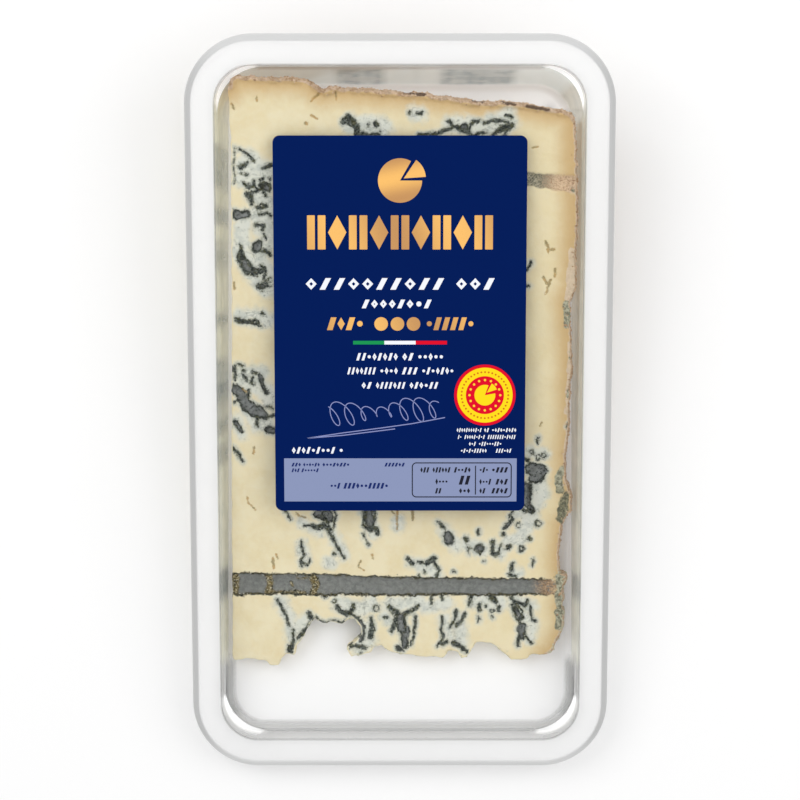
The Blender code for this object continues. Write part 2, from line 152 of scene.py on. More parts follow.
# Everything below is drawn on the cut face as strokes: half width at the start, half width at
# the end, then the points of its route.
VEINS = (
    # near the rind
    (0.83, 0.63, (-13.4, 70.0), (-13.0, 69.9)),
    (0.54, 0.63, (-12.4, 71.2), (-11.3, 70.1), (-10.4, 68.6), (-10.4, 66.7)),
    (0.27, 0.27, (-7.6, 69.4), (-7.5, 69.4)),
    (0.54, 0.54, (-6.0, 69.4), (-5.8, 69.1)),
    (0.39, 0.24, (-9.9, 67.1), (-7.9, 66.8), (-5.1, 66.6)),
    (0.22, 0.22, (-4.9, 67.6), (-4.8, 67.6)),
    (0.27, 0.27, (2.1, 72.1), (2.2, 72.1)),
    (0.24, 0.32, (4.0, 71.9), (5.2, 71.9)),
    (0.41, 0.32, (4.7, 66.5), (8.7, 67.0), (10.8, 67.8), (12.6, 68.5)),
    (0.46, 0.39, (11.7, 70.0), (12.6, 69.1), (14.8, 67.9), (16.6, 67.3)),
    (0.37, 0.29, (18.8, 70.0), (17.5, 69.7), (16.0, 67.6)),
    (0.32, 0.37, (20.3, 69.7), (22.4, 70.0), (25.8, 69.7)),
    (0.34, 0.24, (25.7, 71.5), (27.1, 70.9)),
    (0.46, 0.34, (27.1, 69.1), (24.0, 68.2), (22.2, 66.5)),
    (0.29, 0.19, (26.7, 68.9), (24.9, 66.5)),
    (0.32, 0.22, (16.8, 66.5), (18.8, 67.0), (20.6, 67.3)),
    # left column, upper part
    (0.04, 0.02, (-39.9, 63.8), (-40.1, 60.8), (-40.0, 57.9), (-40.0, 55.3)),
    (0.19, 0.39, (-38.8, 63.2), (-37.7, 62.7), (-36.5, 61.9), (-35.4, 60.5)),
    (0.54, 0.24, (-38.4, 59.0), (-36.9, 60.1)),
    (0.32, 0.24, (-37.3, 57.3), (-36.9, 57.2)),
    (0.19, 0.19, (-38.5, 57.7), (-38.4, 57.7)),
    (0.49, 0.49, (-31.8, 59.4), (-31.1, 59.4)),
    (0.29, 0.37, (-33.0, 58.7), (-31.9, 59.4)),
    (0.24, 0.24, (-31.4, 56.3), (-31.3, 56.1)),
    (0.39, 0.39, (-33.6, 55.9), (-33.0, 56.4)),
    (0.29, 0.39, (-35.4, 55.7), (-35.3, 54.4)),
    (0.34, 0.39, (-37.7, 55.2), (-36.9, 54.3), (-35.5, 54.4)),
    (0.32, 0.32, (-35.3, 54.4), (-34.2, 53.5), (-33.4, 53.9)),
    (0.39, 0.24, (-33.0, 53.3), (-32.6, 52.1)),
    (0.27, 0.32, (-36.2, 52.8), (-34.6, 53.5)),
    (0.56, 0.22, (-37.0, 52.4), (-36.1, 51.1), (-35.7, 50.1)),
    (0.24, 0.19, (-35.9, 52.4), (-35.5, 51.1)),
    (0.34, 0.29, (-34.4, 49.3), (-33.5, 50.2), (-32.4, 49.8)),
    (0.46, 0.39, (-33.7, 49.3), (-32.9, 49.6)),
    (0.19, 0.24, (-34.1, 47.7), (-33.0, 47.6), (-32.2, 48.0), (-31.1, 47.3)),
    (0.22, 0.44, (-35.2, 45.3), (-34.0, 45.4), (-33.2, 45.2)),
    (0.44, 0.29, (-33.4, 45.0), (-33.6, 44.1)),
    (0.15, 0.22, (-33.3, 43.3), (-32.5, 41.9)),
    (0.41, 0.24, (-33.4, 38.9), (-32.1, 38.8), (-31.4, 38.0)),
    (0.24, 0.63, (-38.7, 40.4), (-38.7, 38.9), (-38.3, 37.3)),
    # left column, middle
    (0.29, 0.22, (-39.5, 37.1), (-38.6, 35.6), (-38.0, 33.9), (-36.5, 33.3), (-34.6, 33.1)),
    (0.24, 0.22, (-38.3, 38.0), (-37.0, 36.3), (-36.1, 35.0)),
    (0.19, 0.24, (-34.0, 35.6), (-32.9, 34.8), (-32.6, 34.1), (-33.1, 32.8), (-33.0, 31.9), (-32.2, 30.9)),
    (0.63, 0.73, (-35.8, 34.3), (-34.7, 34.0), (-33.5, 34.3)),
    (0.32, 0.24, (-32.7, 30.5), (-31.7, 30.4)),
    (0.49, 0.34, (-39.9, 22.2), (-39.1, 22.0)),
    (0.22, 0.24, (-38.7, 21.9), (-36.5, 21.7), (-35.2, 21.6)),
    (0.63, 0.56, (-35.4, 21.6), (-34.8, 21.5)),
    (0.24, 0.15, (-34.6, 21.0), (-34.0, 20.3)),
    (0.29, 0.22, (-33.8, 23.7), (-33.3, 23.5)),
    (0.32, 0.24, (-40.7, 10.8), (-40.5, 8.7), (-40.8, 7.6)),
    (0.19, 0.19, (-39.8, 11.2), (-38.5, 10.6)),
    (0.32, 0.32, (-38.3, 9.5), (-38.2, 9.3)),
    (0.34, 0.34, (-36.0, 9.5), (-35.4, 9.1)),
    # left column, lower part
    (0.39, 0.32, (-38.5, 8.4), (-37.8, 7.3)),
    (0.32, 0.24, (-36.2, 8.0), (-36.6, 6.6), (-36.0, 6.3)),
    (0.27, 0.22, (-37.4, 4.9), (-37.4, 3.1)),
    (0.24, 0.19, (-40.8, 1.6), (-39.7, 2.3)),
    (0.29, 0.24, (-35.2, -2.5), (-35.1, -4.2)),
    (0.29, 0.24, (-32.9, -2.1), (-31.1, -1.4)),
    (0.17, 0.17, (-32.9, 0.6), (-32.0, 0.8), (-31.1, -0.1)),
    (0.34, 0.27, (-41.3, -9.5), (-39.9, -11.2), (-39.1, -13.0)),
    # between the label and the lower channel
    (0.29, 0.12, (-28.9, -25.2), (-28.1, -26.3), (-27.3, -27.8)),
    (0.58, 0.63, (-21.6, -29.2), (-20.7, -29.6), (-19.0, -29.2)),
    (0.19, 0.34, (-23.9, -29.4), (-22.4, -29.1)),
    (0.46, 0.17, (-19.3, -28.9), (-17.9, -30.4), (-16.5, -33.3), (-15.0, -35.7), (-13.9, -37.7)),
    (0.24, 0.19, (-16.7, -25.2), (-15.8, -26.6), (-16.7, -29.5)),
    (0.17, 0.22, (-18.7, -25.1), (-19.4, -26.5), (-18.4, -28.0), (-17.2, -30.6)),
    (0.15, 0.34, (-24.5, -33.0), (-24.7, -34.5), (-23.9, -36.6), (-24.8, -38.0), (-24.5, -39.5)),
    (0.24, 0.17, (-24.3, -38.8), (-23.1, -39.2), (-22.5, -37.7)),
    (0.24, 0.24, (-16.5, -36.4), (-16.3, -36.5)),
    (0.39, 0.41, (-9.0, -25.2), (-8.9, -29.2), (-7.6, -30.4), (-5.9, -29.8), (-5.6, -31.3)),
    (0.29, 0.22, (-6.4, -25.2), (-6.4, -28.1)),
    (0.12, 0.10, (-9.3, -31.3), (-7.9, -34.2)),
    (0.19, 0.29, (9.3, -28.3), (11.1, -30.1)),
    (0.51, 0.44, (16.3, -32.5), (16.6, -33.1)),
    (0.19, 0.17, (16.9, -34.8), (17.2, -36.3)),
    (0.32, 0.27, (19.6, -30.5), (19.6, -31.4)),
    (0.17, 0.17, (21.0, -38.3), (21.1, -38.4)),
    (0.19, 0.19, (13.4, -41.0), (13.6, -41.0)),
    (0.39, 0.49, (23.1, -33.2), (23.0, -35.7), (23.3, -36.6), (24.5, -36.3)),
    (0.19, 0.17, (25.4, -33.9), (24.9, -35.4)),
    (0.41, 0.34, (25.9, -31.1), (25.9, -31.6)),
    (0.49, 0.29, (27.2, -34.4), (26.6, -35.2)),
    (0.15, 0.15, (28.2, -25.2), (27.3, -27.3)),
    (0.37, 0.37, (30.7, -25.2), (31.6, -25.6)),
    (0.27, 0.32, (32.4, -25.2), (33.4, -25.8)),
    (0.37, 0.29, (32.3, -32.3), (31.9, -32.9)),
    (0.22, 0.15, (33.3, -38.0), (33.1, -39.6)),
    (0.41, 0.37, (28.2, -39.2), (27.9, -40.8)),
    (0.37, 0.29, (27.4, -41.8), (29.1, -42.2)),
    (0.34, 0.37, (1.8, -37.6), (3.3, -39.1)),
    (0.24, 0.29, (4.2, -38.4), (5.7, -38.8)),
    (0.63, 0.58, (6.9, -38.8), (8.5, -37.6)),
    (0.34, 0.32, (8.5, -38.0), (9.7, -40.7), (9.2, -42.5)),
    (0.22, 0.22, (4.8, -41.9), (5.7, -43.5)),
    (0.22, 0.22, (6.0, -40.8), (6.3, -41.1)),
    (0.22, 0.22, (9.2, -42.5), (10.3, -43.8)),
    # tip, left and middle
    (0.34, 0.27, (-30.8, -48.3), (-29.5, -50.4), (-28.7, -52.4), (-27.9, -54.8)),
    (0.24, 0.46, (-27.0, -56.0), (-26.9, -58.7), (-27.7, -62.0)),
    (0.49, 0.32, (-22.9, -51.8), (-22.4, -52.7), (-22.0, -53.5)),
    (0.46, 0.39, (-22.0, -53.5), (-22.8, -54.9), (-24.3, -56.4), (-25.4, -58.3)),
    (
        0.17, 0.17, (-21.2, -52.8), (-20.0, -54.0), (-18.3, -54.2), (-16.3, -53.6), (-14.8, -54.1),
        (-13.4, -53.4),
    ),
    (0.46, 0.44, (-15.7, -50.0), (-15.1, -51.2), (-13.7, -52.1), (-12.2, -51.5), (-11.7, -49.8)),
    (0.39, 0.29, (-12.6, -51.7), (-11.4, -52.4), (-10.5, -53.0)),
    (0.37, 0.58, (-7.2, -53.1), (-6.8, -55.7), (-7.5, -58.1)),
    (0.29, 0.51, (-13.2, -60.8), (-11.4, -60.2), (-8.8, -60.8)),
    (0.22, 0.22, (-9.9, -62.2), (-9.8, -62.3)),
    (0.34, 0.34, (-3.7, -52.8), (-3.5, -52.9)),
    (0.37, 0.63, (-2.7, -50.1), (-0.7, -51.8)),
    (0.54, 0.34, (-0.8, -52.0), (-1.3, -54.2), (-2.1, -56.6)),
    (0.32, 0.58, (4.8, -49.7), (2.7, -51.0), (1.2, -51.9)),
    (0.24, 0.22, (3.8, -52.4), (3.5, -57.1), (2.8, -60.0)),
    (0.19, 0.19, (0.8, -52.9), (1.3, -57.1)),
    # tip, right
    (0.32, 0.29, (10.5, -52.6), (10.9, -54.1), (10.3, -56.0), (11.0, -58.2), (9.4, -60.1)),
    (0.41, 0.32, (14.0, -51.3), (13.7, -53.5), (12.5, -55.4)),
    (0.32, 0.27, (16.4, -51.8), (14.0, -55.4)),
    (0.58, 0.29, (13.7, -59.5), (15.5, -60.4), (17.4, -62.3)),
    (0.39, 0.34, (10.9, -59.6), (11.8, -59.2)),
    (0.32, 0.24, (7.8, -47.6), (7.7, -49.1)),
    (0.34, 0.29, (10.5, -47.3), (10.7, -48.3)),
    (0.39, 0.34, (17.7, -47.8), (17.5, -49.7)),
    (0.37, 0.37, (20.0, -49.3), (20.1, -50.8)),
    (0.19, 0.19, (21.6, -49.8), (21.6, -50.3)),
    (0.27, 0.17, (19.8, -52.8), (19.7, -54.1)),
    (0.63, 0.54, (22.8, -47.5), (24.1, -48.8)),
    (0.37, 0.29, (25.0, -50.0), (24.9, -51.1)),
    (0.22, 0.22, (23.1, -52.6), (23.2, -52.9)),
    (0.34, 0.34, (27.9, -47.9), (29.2, -49.1), (31.6, -49.8), (32.0, -48.5)),
    (0.24, 0.24, (28.1, -49.8), (29.3, -52.9), (30.4, -54.4)),
    (0.24, 0.19, (28.6, -49.3), (30.8, -51.1), (30.8, -52.9)),
    (0.37, 0.22, (31.4, -57.1), (33.2, -59.5)),
    (0.32, 0.27, (29.9, -57.9), (29.6, -60.0)),
    (0.22, 0.27, (32.8, -50.0), (33.2, -53.5), (34.1, -53.8)),
    # right column
    (0.22, 0.17, (34.2, -6.8), (34.0, -8.5)),
    (0.44, 0.44, (30.9, -12.5), (31.5, -12.6)),
    (0.29, 0.19, (32.0, 36.2), (30.8, 34.4)),
    (0.19, 0.19, (30.8, 30.6), (31.5, 30.4)),
    (0.22, 0.22, (41.8, 53.8), (41.9, 53.6)),
    (0.32, 0.24, (41.7, -3.7), (41.6, -4.5), (42.1, -5.1)),
)
# Thin dark rings of mould round small holes: centre and radius.
RINGS = (
    (-36.6, 54.5, 0.73), (-32.3, 54.3, 0.88), (-33.7, 30.4, 0.88), (-31.7, 31.8, 0.54),
    (19.9, -35.1, 1.07), (29.5, -29.2, 0.54), (30.4, -35.2, 0.58), (34.5, -28.7, 0.68),
    (-18.8, -47.2, 0.39), (-16.5, -48.6, 0.34), (-5.9, -50.5, 0.56), (23.1, -51.1, 0.44),
    (32.7, -10.7, 0.51), (34.1, -11.9, 0.49), (35.6, -11.5, 0.56),
)
# Open pockets with a grey floor and a dark crumbled edge.
POCKETS = (
    (1.02, 0.78, (-33.1, 54.6), (-31.9, 54.1)),
    (1.22, 0.73, (-34.9, 39.6), (-34.1, 40.9)),
    (1.02, 0.88, (-38.8, 37.5), (-37.8, 35.3), (-36.1, 33.7)),
    (0.83, 0.73, (-33.9, 30.4), (-33.4, 30.3)),
    (1.12, 0.88, (-39.6, 47.7), (-37.3, 47.8)),
    (0.63, 0.34, (-39.4, 21.9), (-35.0, 21.3)),
    (0.58, 0.51, (-34.6, 8.4), (-34.0, 6.2), (-32.8, 4.1)),
    (1.12, 1.51, (-40.7, 5.1), (-39.2, 3.8), (-38.0, 1.1), (-35.8, -0.4)),
    (1.61, 1.12, (-34.7, -0.5), (-33.6, -1.6)),
    (0.73, 0.44, (-40.5, -3.2), (-39.3, -5.4)),
    (0.88, 0.83, (-32.5, -5.0), (-31.7, -5.3)),
    (1.27, 1.46, (-20.2, -26.3), (-17.9, -27.0)),
    (1.02, 1.02, (-7.6, -25.5), (-7.6, -28.8)),
    (1.12, 1.32, (12.0, -31.9), (12.2, -32.9)),
    (1.07, 1.02, (19.8, -34.9), (20.1, -35.2)),
    (0.46, 0.51, (28.0, -27.5), (26.2, -29.9)),
    (1.61, 1.56, (32.6, -15.0), (34.9, -15.2)),
    (1.22, 1.27, (33.1, -17.4), (34.6, -16.8)),
    (0.97, 1.12, (31.6, -19.2), (31.5, -23.5)),
    (0.63, 0.78, (31.9, -24.1), (32.8, -25.4)),
    (0.63, 0.63, (-10.0, -54.1), (-9.3, -55.9), (-9.9, -58.7)),
    (1.17, 1.27, (0.1, -52.7), (0.5, -55.5)),
    (1.32, 0.83, (1.2, -56.1), (1.1, -60.0)),
    (0.49, 0.39, (-0.5, -60.7), (0.4, -61.3)),
    (0.63, 0.54, (-27.8, -60.5), (-27.6, -62.6)),
    (0.63, 0.73, (28.8, -50.5), (30.4, -53.0)),
    (1.12, 0.83, (30.8, -55.5), (30.5, -58.0)),
    (0.68, 0.58, (16.0, 68.8), (14.9, 68.5)),
    (0.73, 0.63, (-12.3, 70.5), (-10.8, 68.4)),
    (0.63, 0.54, (23.8, 67.5), (25.7, 68.5)),
    (0.63, 0.58, (-14.1, -51.4), (-12.6, -51.7)),
)
# Pale bluish paste round the mould.
HALOS = (
    (1.95, 1.95, (-12.0, 69.3), (-4.3, 68.4)),
    (1.70, 2.19, (12.5, 69.3), (19.2, 68.4), (26.0, 70.3)),
    (1.46, 1.22, (3.6, 71.9), (4.8, 71.7)),
    (1.46, 1.70, (-36.2, 61.5), (-33.3, 58.9), (-32.4, 57.0)),
    (1.95, 2.19, (-37.9, 59.4), (-35.8, 56.0), (-33.4, 52.2), (-32.4, 49.8)),
    (1.22, 1.22, (-38.8, 59.4), (-38.4, 56.0)),
    (1.95, 1.70, (-34.4, 47.9), (-33.5, 44.5)),
    (1.46, 1.70, (-32.0, 46.4), (-32.1, 40.6)),
    (1.70, 1.95, (-37.8, 46.9), (-38.9, 39.2), (-37.5, 36.3)),
    (1.95, 2.19, (-34.5, 37.3), (-32.6, 33.4), (-32.2, 30.0)),
    (1.46, 1.70, (-36.1, 32.9), (-33.7, 30.9)),
    (0.97, 1.46, (-39.4, 23.4), (-35.2, 23.4), (-31.8, 22.1)),
    (1.22, 1.22, (-39.3, 9.3), (-33.9, 9.3)),
    (1.95, 1.95, (-38.9, 7.8), (-34.0, 5.4), (-32.0, 2.9)),
    (1.22, 1.46, (-39.4, 2.9), (-35.6, -3.6), (-32.6, -3.6)),
    (0.97, 0.97, (-40.5, -2.6), (-39.1, -6.1)),
    (0.97, 0.73, (-24.4, -28.8), (-20.0, -30.9)),
    (0.97, 0.97, (-24.5, -34.2), (-24.0, -38.5)),
    (0.97, 0.97, (-18.4, -28.3), (-14.0, -37.0)),
    (1.22, 1.22, (-8.5, -25.3), (-6.5, -30.9)),
    (0.97, 0.97, (-18.0, -38.5), (-17.0, -38.8)),
    (1.22, 1.22, (11.0, -30.3), (14.0, -34.4)),
    (1.22, 1.46, (16.5, -33.9), (20.5, -35.4)),
    (0.97, 1.22, (23.2, -34.4), (25.0, -36.2)),
    (1.22, 1.70, (27.0, -32.9), (30.0, -32.9), (31.9, -27.8)),
    (1.22, 0.97, (28.9, -25.8), (33.4, -26.8)),
    (0.97, 0.97, (28.0, -41.1), (29.6, -41.6)),
    (1.22, 1.22, (3.0, -38.5), (8.0, -40.6), (9.0, -42.1)),
    (1.95, 1.70, (33.7, -15.1), (34.8, -21.7), (32.4, -24.7)),
    (1.22, 1.22, (32.4, -10.6), (35.7, -11.4)),
    (1.22, 1.22, (-30.1, -48.3), (-27.4, -54.0), (-27.2, -58.7)),
    (1.22, 1.22, (-25.7, -55.5), (-23.1, -52.9)),
    (1.70, 1.46, (-15.1, -49.3), (-10.1, -50.9), (-7.0, -49.3)),
    (1.70, 1.70, (-9.1, -55.5), (-8.1, -58.7), (-10.1, -60.7)),
    (1.46, 1.22, (-3.0, -49.8), (5.0, -48.3)),
    (1.22, 1.46, (6.0, -49.8), (11.6, -49.3)),
    (1.22, 0.97, (11.1, -53.5), (12.6, -57.6)),
    (1.46, 1.22, (14.6, -52.9), (15.6, -59.2)),
    (1.70, 1.70, (18.6, -48.3), (25.1, -49.3)),
    (1.22, 1.22, (28.6, -48.3), (33.2, -49.8)),
    (1.22, 0.97, (29.7, -51.4), (33.2, -54.5), (32.8, -58.7)),
    (0.97, 0.97, (-4.0, -52.4), (-3.0, -53.5)),
    (0.97, 0.97, (-0.5, -27.8), (-0.5, -29.3)),
)
# Thin brown and ochre cracks.
CRACKS = (
    (0.12, 0.12, (-25.8, -26.0), (-25.2, -26.8), (-23.6, -27.2)),
    (0.27, 0.15, (-31.8, -37.7), (-31.6, -40.1)),
    (0.10, 0.10, (-31.1, -36.6), (-30.4, -37.7)),
    (0.22, 0.12, (-0.7, -25.2), (-0.7, -30.2)),
    (0.27, 0.17, (3.1, -25.2), (3.1, -27.7)),
    (0.15, 0.10, (-2.0, -25.5), (-1.2, -26.5)),
    (0.15, 0.15, (-7.0, -36.6), (-6.7, -37.7)),
    (0.10, 0.10, (-9.8, -38.3), (-10.5, -39.8), (-9.0, -40.8)),
    (0.22, 0.22, (35.3, 41.1), (36.0, 39.9), (36.1, 38.7)),
    (0.19, 0.19, (36.2, 39.2), (37.6, 39.4)),
    (0.17, 0.15, (37.8, 34.6), (37.7, 32.8)),
    (0.22, 0.22, (34.9, 32.5), (36.1, 30.5), (36.7, 32.0)),
    (0.17, 0.10, (36.1, 30.4), (35.5, 28.4)),
    (0.15, 0.10, (34.8, -3.3), (34.7, -4.1)),
    (0.37, 0.37, (-22.6, 69.5), (-22.5, 69.4)),
    (0.17, 0.12, (-19.4, 76.5), (-20.6, 75.6), (-21.4, 74.7)),
    (0.12, 0.07, (-15.5, 77.3), (-15.3, 75.1)),
    (0.15, 0.10, (-34.4, 75.6), (-34.4, 74.8)),
    (0.15, 0.10, (-40.4, 74.1), (-39.9, 72.9)),
    (0.17, 0.17, (-36.1, -9.5), (-36.2, -10.9)),
    (0.12, 0.07, (-38.0, -22.0), (-37.8, -23.5), (-35.9, -25.3)),
    (0.12, 0.12, (32.0, 63.7), (33.2, 64.0)),
    (0.17, 0.12, (-21.4, 71.4), (-19.9, 70.6)),
    (0.15, 0.15, (-38.7, 5.1), (-37.2, 3.9)),
    (0.19, 0.15, (-40.5, 31.2), (-40.4, 29.7)),
)
# Grey green mould on the rind.
CRUST_MOULD = (
    (0.88, 0.83, (40.7, 26.1), (40.8, 20.7)),
    (0.49, 0.49, (41.4, 4.6), (41.5, 3.4)),
    (0.54, 0.54, (42.2, 14.3), (42.0, 12.8)),
    (0.54, 0.49, (42.1, 0.4), (41.7, -1.1)),
    (0.83, 1.07, (40.1, -15.1), (39.3, -17.2), (39.6, -20.2)),
    (0.83, 1.07, (41.3, -21.2), (40.8, -23.5)),
    (1.22, 1.51, (40.6, -24.0), (40.5, -27.3)),
    (0.78, 0.49, (41.9, -28.2), (43.1, -28.3)),
    (1.27, 1.02, (40.1, -42.6), (40.4, -45.2)),
    (1.22, 1.12, (40.0, -46.7), (40.3, -49.8)),
    (1.07, 0.78, (40.0, -51.4), (39.8, -55.5)),
    (0.49, 0.39, (41.8, 53.9), (42.1, 53.4)),
)
# Places where the pale crust of the flat face is wider than its edge.
WIDE_CRUST = (
    (0.9, 1.2, (41.9, 38.6), (41.5, 26.6)),
    (0.7, 0.8, (42.0, 16.6), (41.5, -0.6)),
    (0.5, 0.5, (41.3, -5.6), (41.2, -13.2)),
    (1.0, 0.9, (41.0, -42.5), (40.9, -56.0)),
)
# Crumbs that bridge the lower channel.
BRIDGES = (
    (1.0, 1.0, (-41.5, -42.0), (-41.7, -47.0)),
    (0.9, 0.8, (-33.2, -41.9), (-32.8, -44.0), (-33.2, -47.0)),
    (0.9, 1.0, (-21.9, -42.1), (-21.4, -44.0), (-21.7, -47.0)),
    (0.40, 0.35, (-31.6, -46.4), (-28.2, -46.7)),
    (0.35, 0.45, (-27.6, -46.3), (-24.0, -46.6)),
    (0.45, 0.40, (-27.3, -44.0), (-26.8, -44.8)),
    (0.30, 0.30, (-25.8, -42.8), (-23.6, -42.9)),
)
# Dark brown spots along the rind of the wheel's side.
RIND_SPOTS = (
    (0.55, 0.45, (4.6, 76.3), (5.8, 76.2)),
    (0.35, 0.25, (1.0, 76.7), (3.4, 76.5)),
    (0.30, 0.30, (17.5, 74.9), (20.0, 74.6)),
    (0.35, 0.40, (24.5, 74.3), (27.5, 74.0)),
    (0.52, 0.45, (30.6, 73.4), (35.6, 72.7)),
)

# The print. Each layer of ink is INK_HEIGHT thick and sinks by INK_SINK into the one below.
INK_HEIGHT = 0.03
INK_SINK = 0.01
EMBLEM = (0.0, 55.8, 5.3)
WORD_BAND = (-22.7, 39.3, 22.7, 47.5)
GRADE_DOTS = (-5.4, -1.45, 2.45)
GRADE_DOT = (21.3, 1.65)
FLAG_BAR = (-11.4, 16.3, 11.4, 17.2)
SEAL = (20.7, 3.9, 7.5)
PANEL = (-28.4, -22.4, 28.6, -11.7)
FACTS_BOX = (2.9, -21.4, 27.4, -12.7)
FACTS_DIVIDER = 18.4
# Rows of small plain shapes in place of words: left, low, right, high, number of shapes.
WHITE_ROWS = (
    (-23.2, 29.6, 11.0, 32.4, 10),
    (13.2, 29.6, 23.2, 32.4, 3),
    (-9.4, 25.1, 7.8, 27.2, 8),
    (-10.7, 12.4, -0.4, 14.2, 8),
    (0.4, 12.4, 3.4, 14.2, 2),
    (4.2, 12.4, 10.7, 14.2, 5),
    (-12.9, 9.0, -5.8, 10.7, 7),
    (-5.0, 9.0, -0.4, 10.7, 4),
    (0.4, 9.0, 4.4, 10.7, 3),
    (5.2, 9.0, 13.2, 10.7, 7),
    (-9.5, 5.5, -6.8, 7.1, 2),
    (-6.0, 5.5, 1.4, 7.1, 7),
    (2.2, 5.5, 9.4, 7.1, 6),
    (13.8, -5.2, 20.0, -4.2, 11),
    (20.5, -5.2, 21.8, -4.2, 2),
    (22.4, -5.2, 28.5, -4.2, 9),
    (14.1, -6.9, 15.1, -5.9, 2),
    (15.7, -6.9, 20.8, -5.9, 9),
    (21.4, -6.9, 28.3, -5.9, 12),
    (16.8, -8.6, 18.6, -7.6, 3),
    (19.2, -8.6, 24.9, -7.6, 9),
    (14.8, -10.3, 21.3, -9.3, 10),
    (23.4, -10.3, 27.3, -9.3, 6),
    (-26.6, -10.5, -15.8, -8.9, 9),
    (-15.0, -10.5, -13.8, -8.9, 1),
)
GOLD_ROWS = (
    (-17.7, 19.8, -8.6, 22.9, 4),
    (6.1, 19.8, 18.2, 22.9, 6),
)
NAVY_ROWS = (
    (-26.6, -13.7, -24.2, -12.8, 3),
    (-23.8, -13.7, -19.6, -12.8, 6),
    (-19.1, -13.7, -12.3, -12.8, 8),
    (-26.6, -15.1, -24.6, -14.2, 3),
    (-24.2, -15.1, -19.9, -14.2, 6),
    (-3.8, -13.7, 1.2, -12.8, 6),
    (-17.2, -19.2, -14.6, -17.8, 3),
    (-13.9, -19.2, -2.8, -17.8, 11),
)
BLACK_ROWS = (
    (4.9, -15.2, 7.2, -13.9, 3),
    (7.9, -15.2, 12.4, -13.9, 6),
    (13.2, -15.2, 17.4, -13.9, 5),
    (19.4, -15.2, 21.7, -13.9, 3),
    (22.4, -15.2, 26.5, -13.9, 4),
    (8.6, -18.2, 11.8, -16.7, 4),
    (14.4, -18.2, 17.3, -16.0, 2),
    (19.4, -18.2, 22.4, -16.8, 4),
    (23.4, -18.2, 26.5, -16.8, 3),
    (8.6, -20.4, 10.2, -19.1, 2),
    (14.4, -20.4, 17.3, -19.1, 3),
    (19.4, -20.4, 21.0, -19.1, 2),
    (22.4, -20.4, 26.5, -19.1, 4),
)
UNDERLINES = (
    ((-22.6, -6.7), (-14.0, -5.4), (-4.0, -4.1), (3.0, -3.1), (11.0, -1.6)),
    ((-22.6, -6.7), (-14.0, -6.0), (-6.0, -5.0), (-1.2, -4.4)),
)


def linear(red, green, blue):
    """A colour as it looks on screen, 0 to 255, made linear."""
    parts = []
    for part in (red, green, blue):
        share = part / 255.0
        parts.append(share / 12.92 if share <= 0.04045 else ((share + 0.055) / 1.055) ** 2.4)
    return (*parts, 1.0)


def colour_property(name, description, red, green, blue):
    return FloatVectorProperty(
        name=name, description=description, subtype="COLOR", size=4, min=0.0, max=1.0,
        default=linear(red, green, blue),
    )


def length_property(name, description, millimetres):
    return FloatProperty(
        name=name, description=description, subtype="DISTANCE", unit="LENGTH", min=0.0,
        default=millimetres * MM, precision=5,
    )


class StudioSettings(bpy.types.PropertyGroup):
    camera_height: length_property("Camera height", "Height of the lens above the base", 450.0)
    camera_y: length_property("Camera place", "Where along the pack the lens stands", 27.06)
    lens: FloatProperty(name="Lens", description="Focal length", unit="CAMERA", default=79.41)
    shift: FloatProperty(name="Shift", description="Vertical shift of the frame", default=-0.127)
    floor_size: length_property("Floor size", "Side of the floor", 3000.0)
    floor_colour: colour_property("Floor colour", "Colour of the studio floor", 252, 252, 252)
    sky: FloatProperty(name="Sky", description="Strength of the even light", default=0.78)
    key_power: FloatProperty(name="Key power", description="Power of the main soft light", default=1.7)
    fill_power: FloatProperty(name="Fill power", description="Power of the second soft light", default=1.0)


class TraySettings(bpy.types.PropertyGroup):
    tint: colour_property("Tint", "Colour of the clear sheet", 252, 252, 252)
    # Shade is painted shade: the grey on the lip, the walls and their foot, standing for refraction in the
    # clear sheet.
    shade: colour_property("Shade", "Colour of its thick and turned edges", 150, 151, 150)
    gloss: FloatProperty(name="Roughness", description="Roughness of the sheet", default=0.1)


class CheeseSettings(bpy.types.PropertyGroup):
    spacing: length_property("Spacing", "Distance between points of the cut face", 0.6)
    fine_spacing: length_property("Fine spacing", "Distance between points near the mould", 0.27)
    cream: colour_property("Cream", "Light paste", 232, 221, 186)
    straw: colour_property("Straw", "Warm paste", 226, 212, 172)
    tan: colour_property("Tan", "Paste under the rind", 200, 168, 116)
    halo: colour_property("Halo", "Paste round the mould", 214, 217, 207)
    mould_dark: colour_property("Dark mould", "Darkest mould", 34, 40, 36)
    mould_grey: colour_property("Grey mould", "Lighter mould", 100, 106, 98)
    pocket: colour_property("Pocket", "Floor of the pockets and channels", 132, 135, 133)
    crust: colour_property("Crust", "Pink beige rind", 206, 180, 152)
    crust_brown: colour_property("Brown crust", "Darker rind", 158, 126, 92)
    crumb_size: length_property("Crumb size", "Radius of the largest crumbs", 0.2)
    crumb_density: FloatProperty(name="Crumbs", description="Crumbs on a square centimetre", default=90.0)
    flake_size: length_property("Flake size", "Radius of the largest flakes of rind", 0.36)
    flake_density: FloatProperty(name="Flakes", description="Flakes on a square centimetre", default=80.0)
    crumb_seed: IntProperty(name="Crumb seed", description="Where the crumbs fall", default=5)


class FilmSettings(bpy.types.PropertyGroup):
    tint: colour_property("Tint", "Colour of the film", 245, 246, 247)
    gloss: FloatProperty(name="Roughness", description="Roughness of the film", default=0.06)


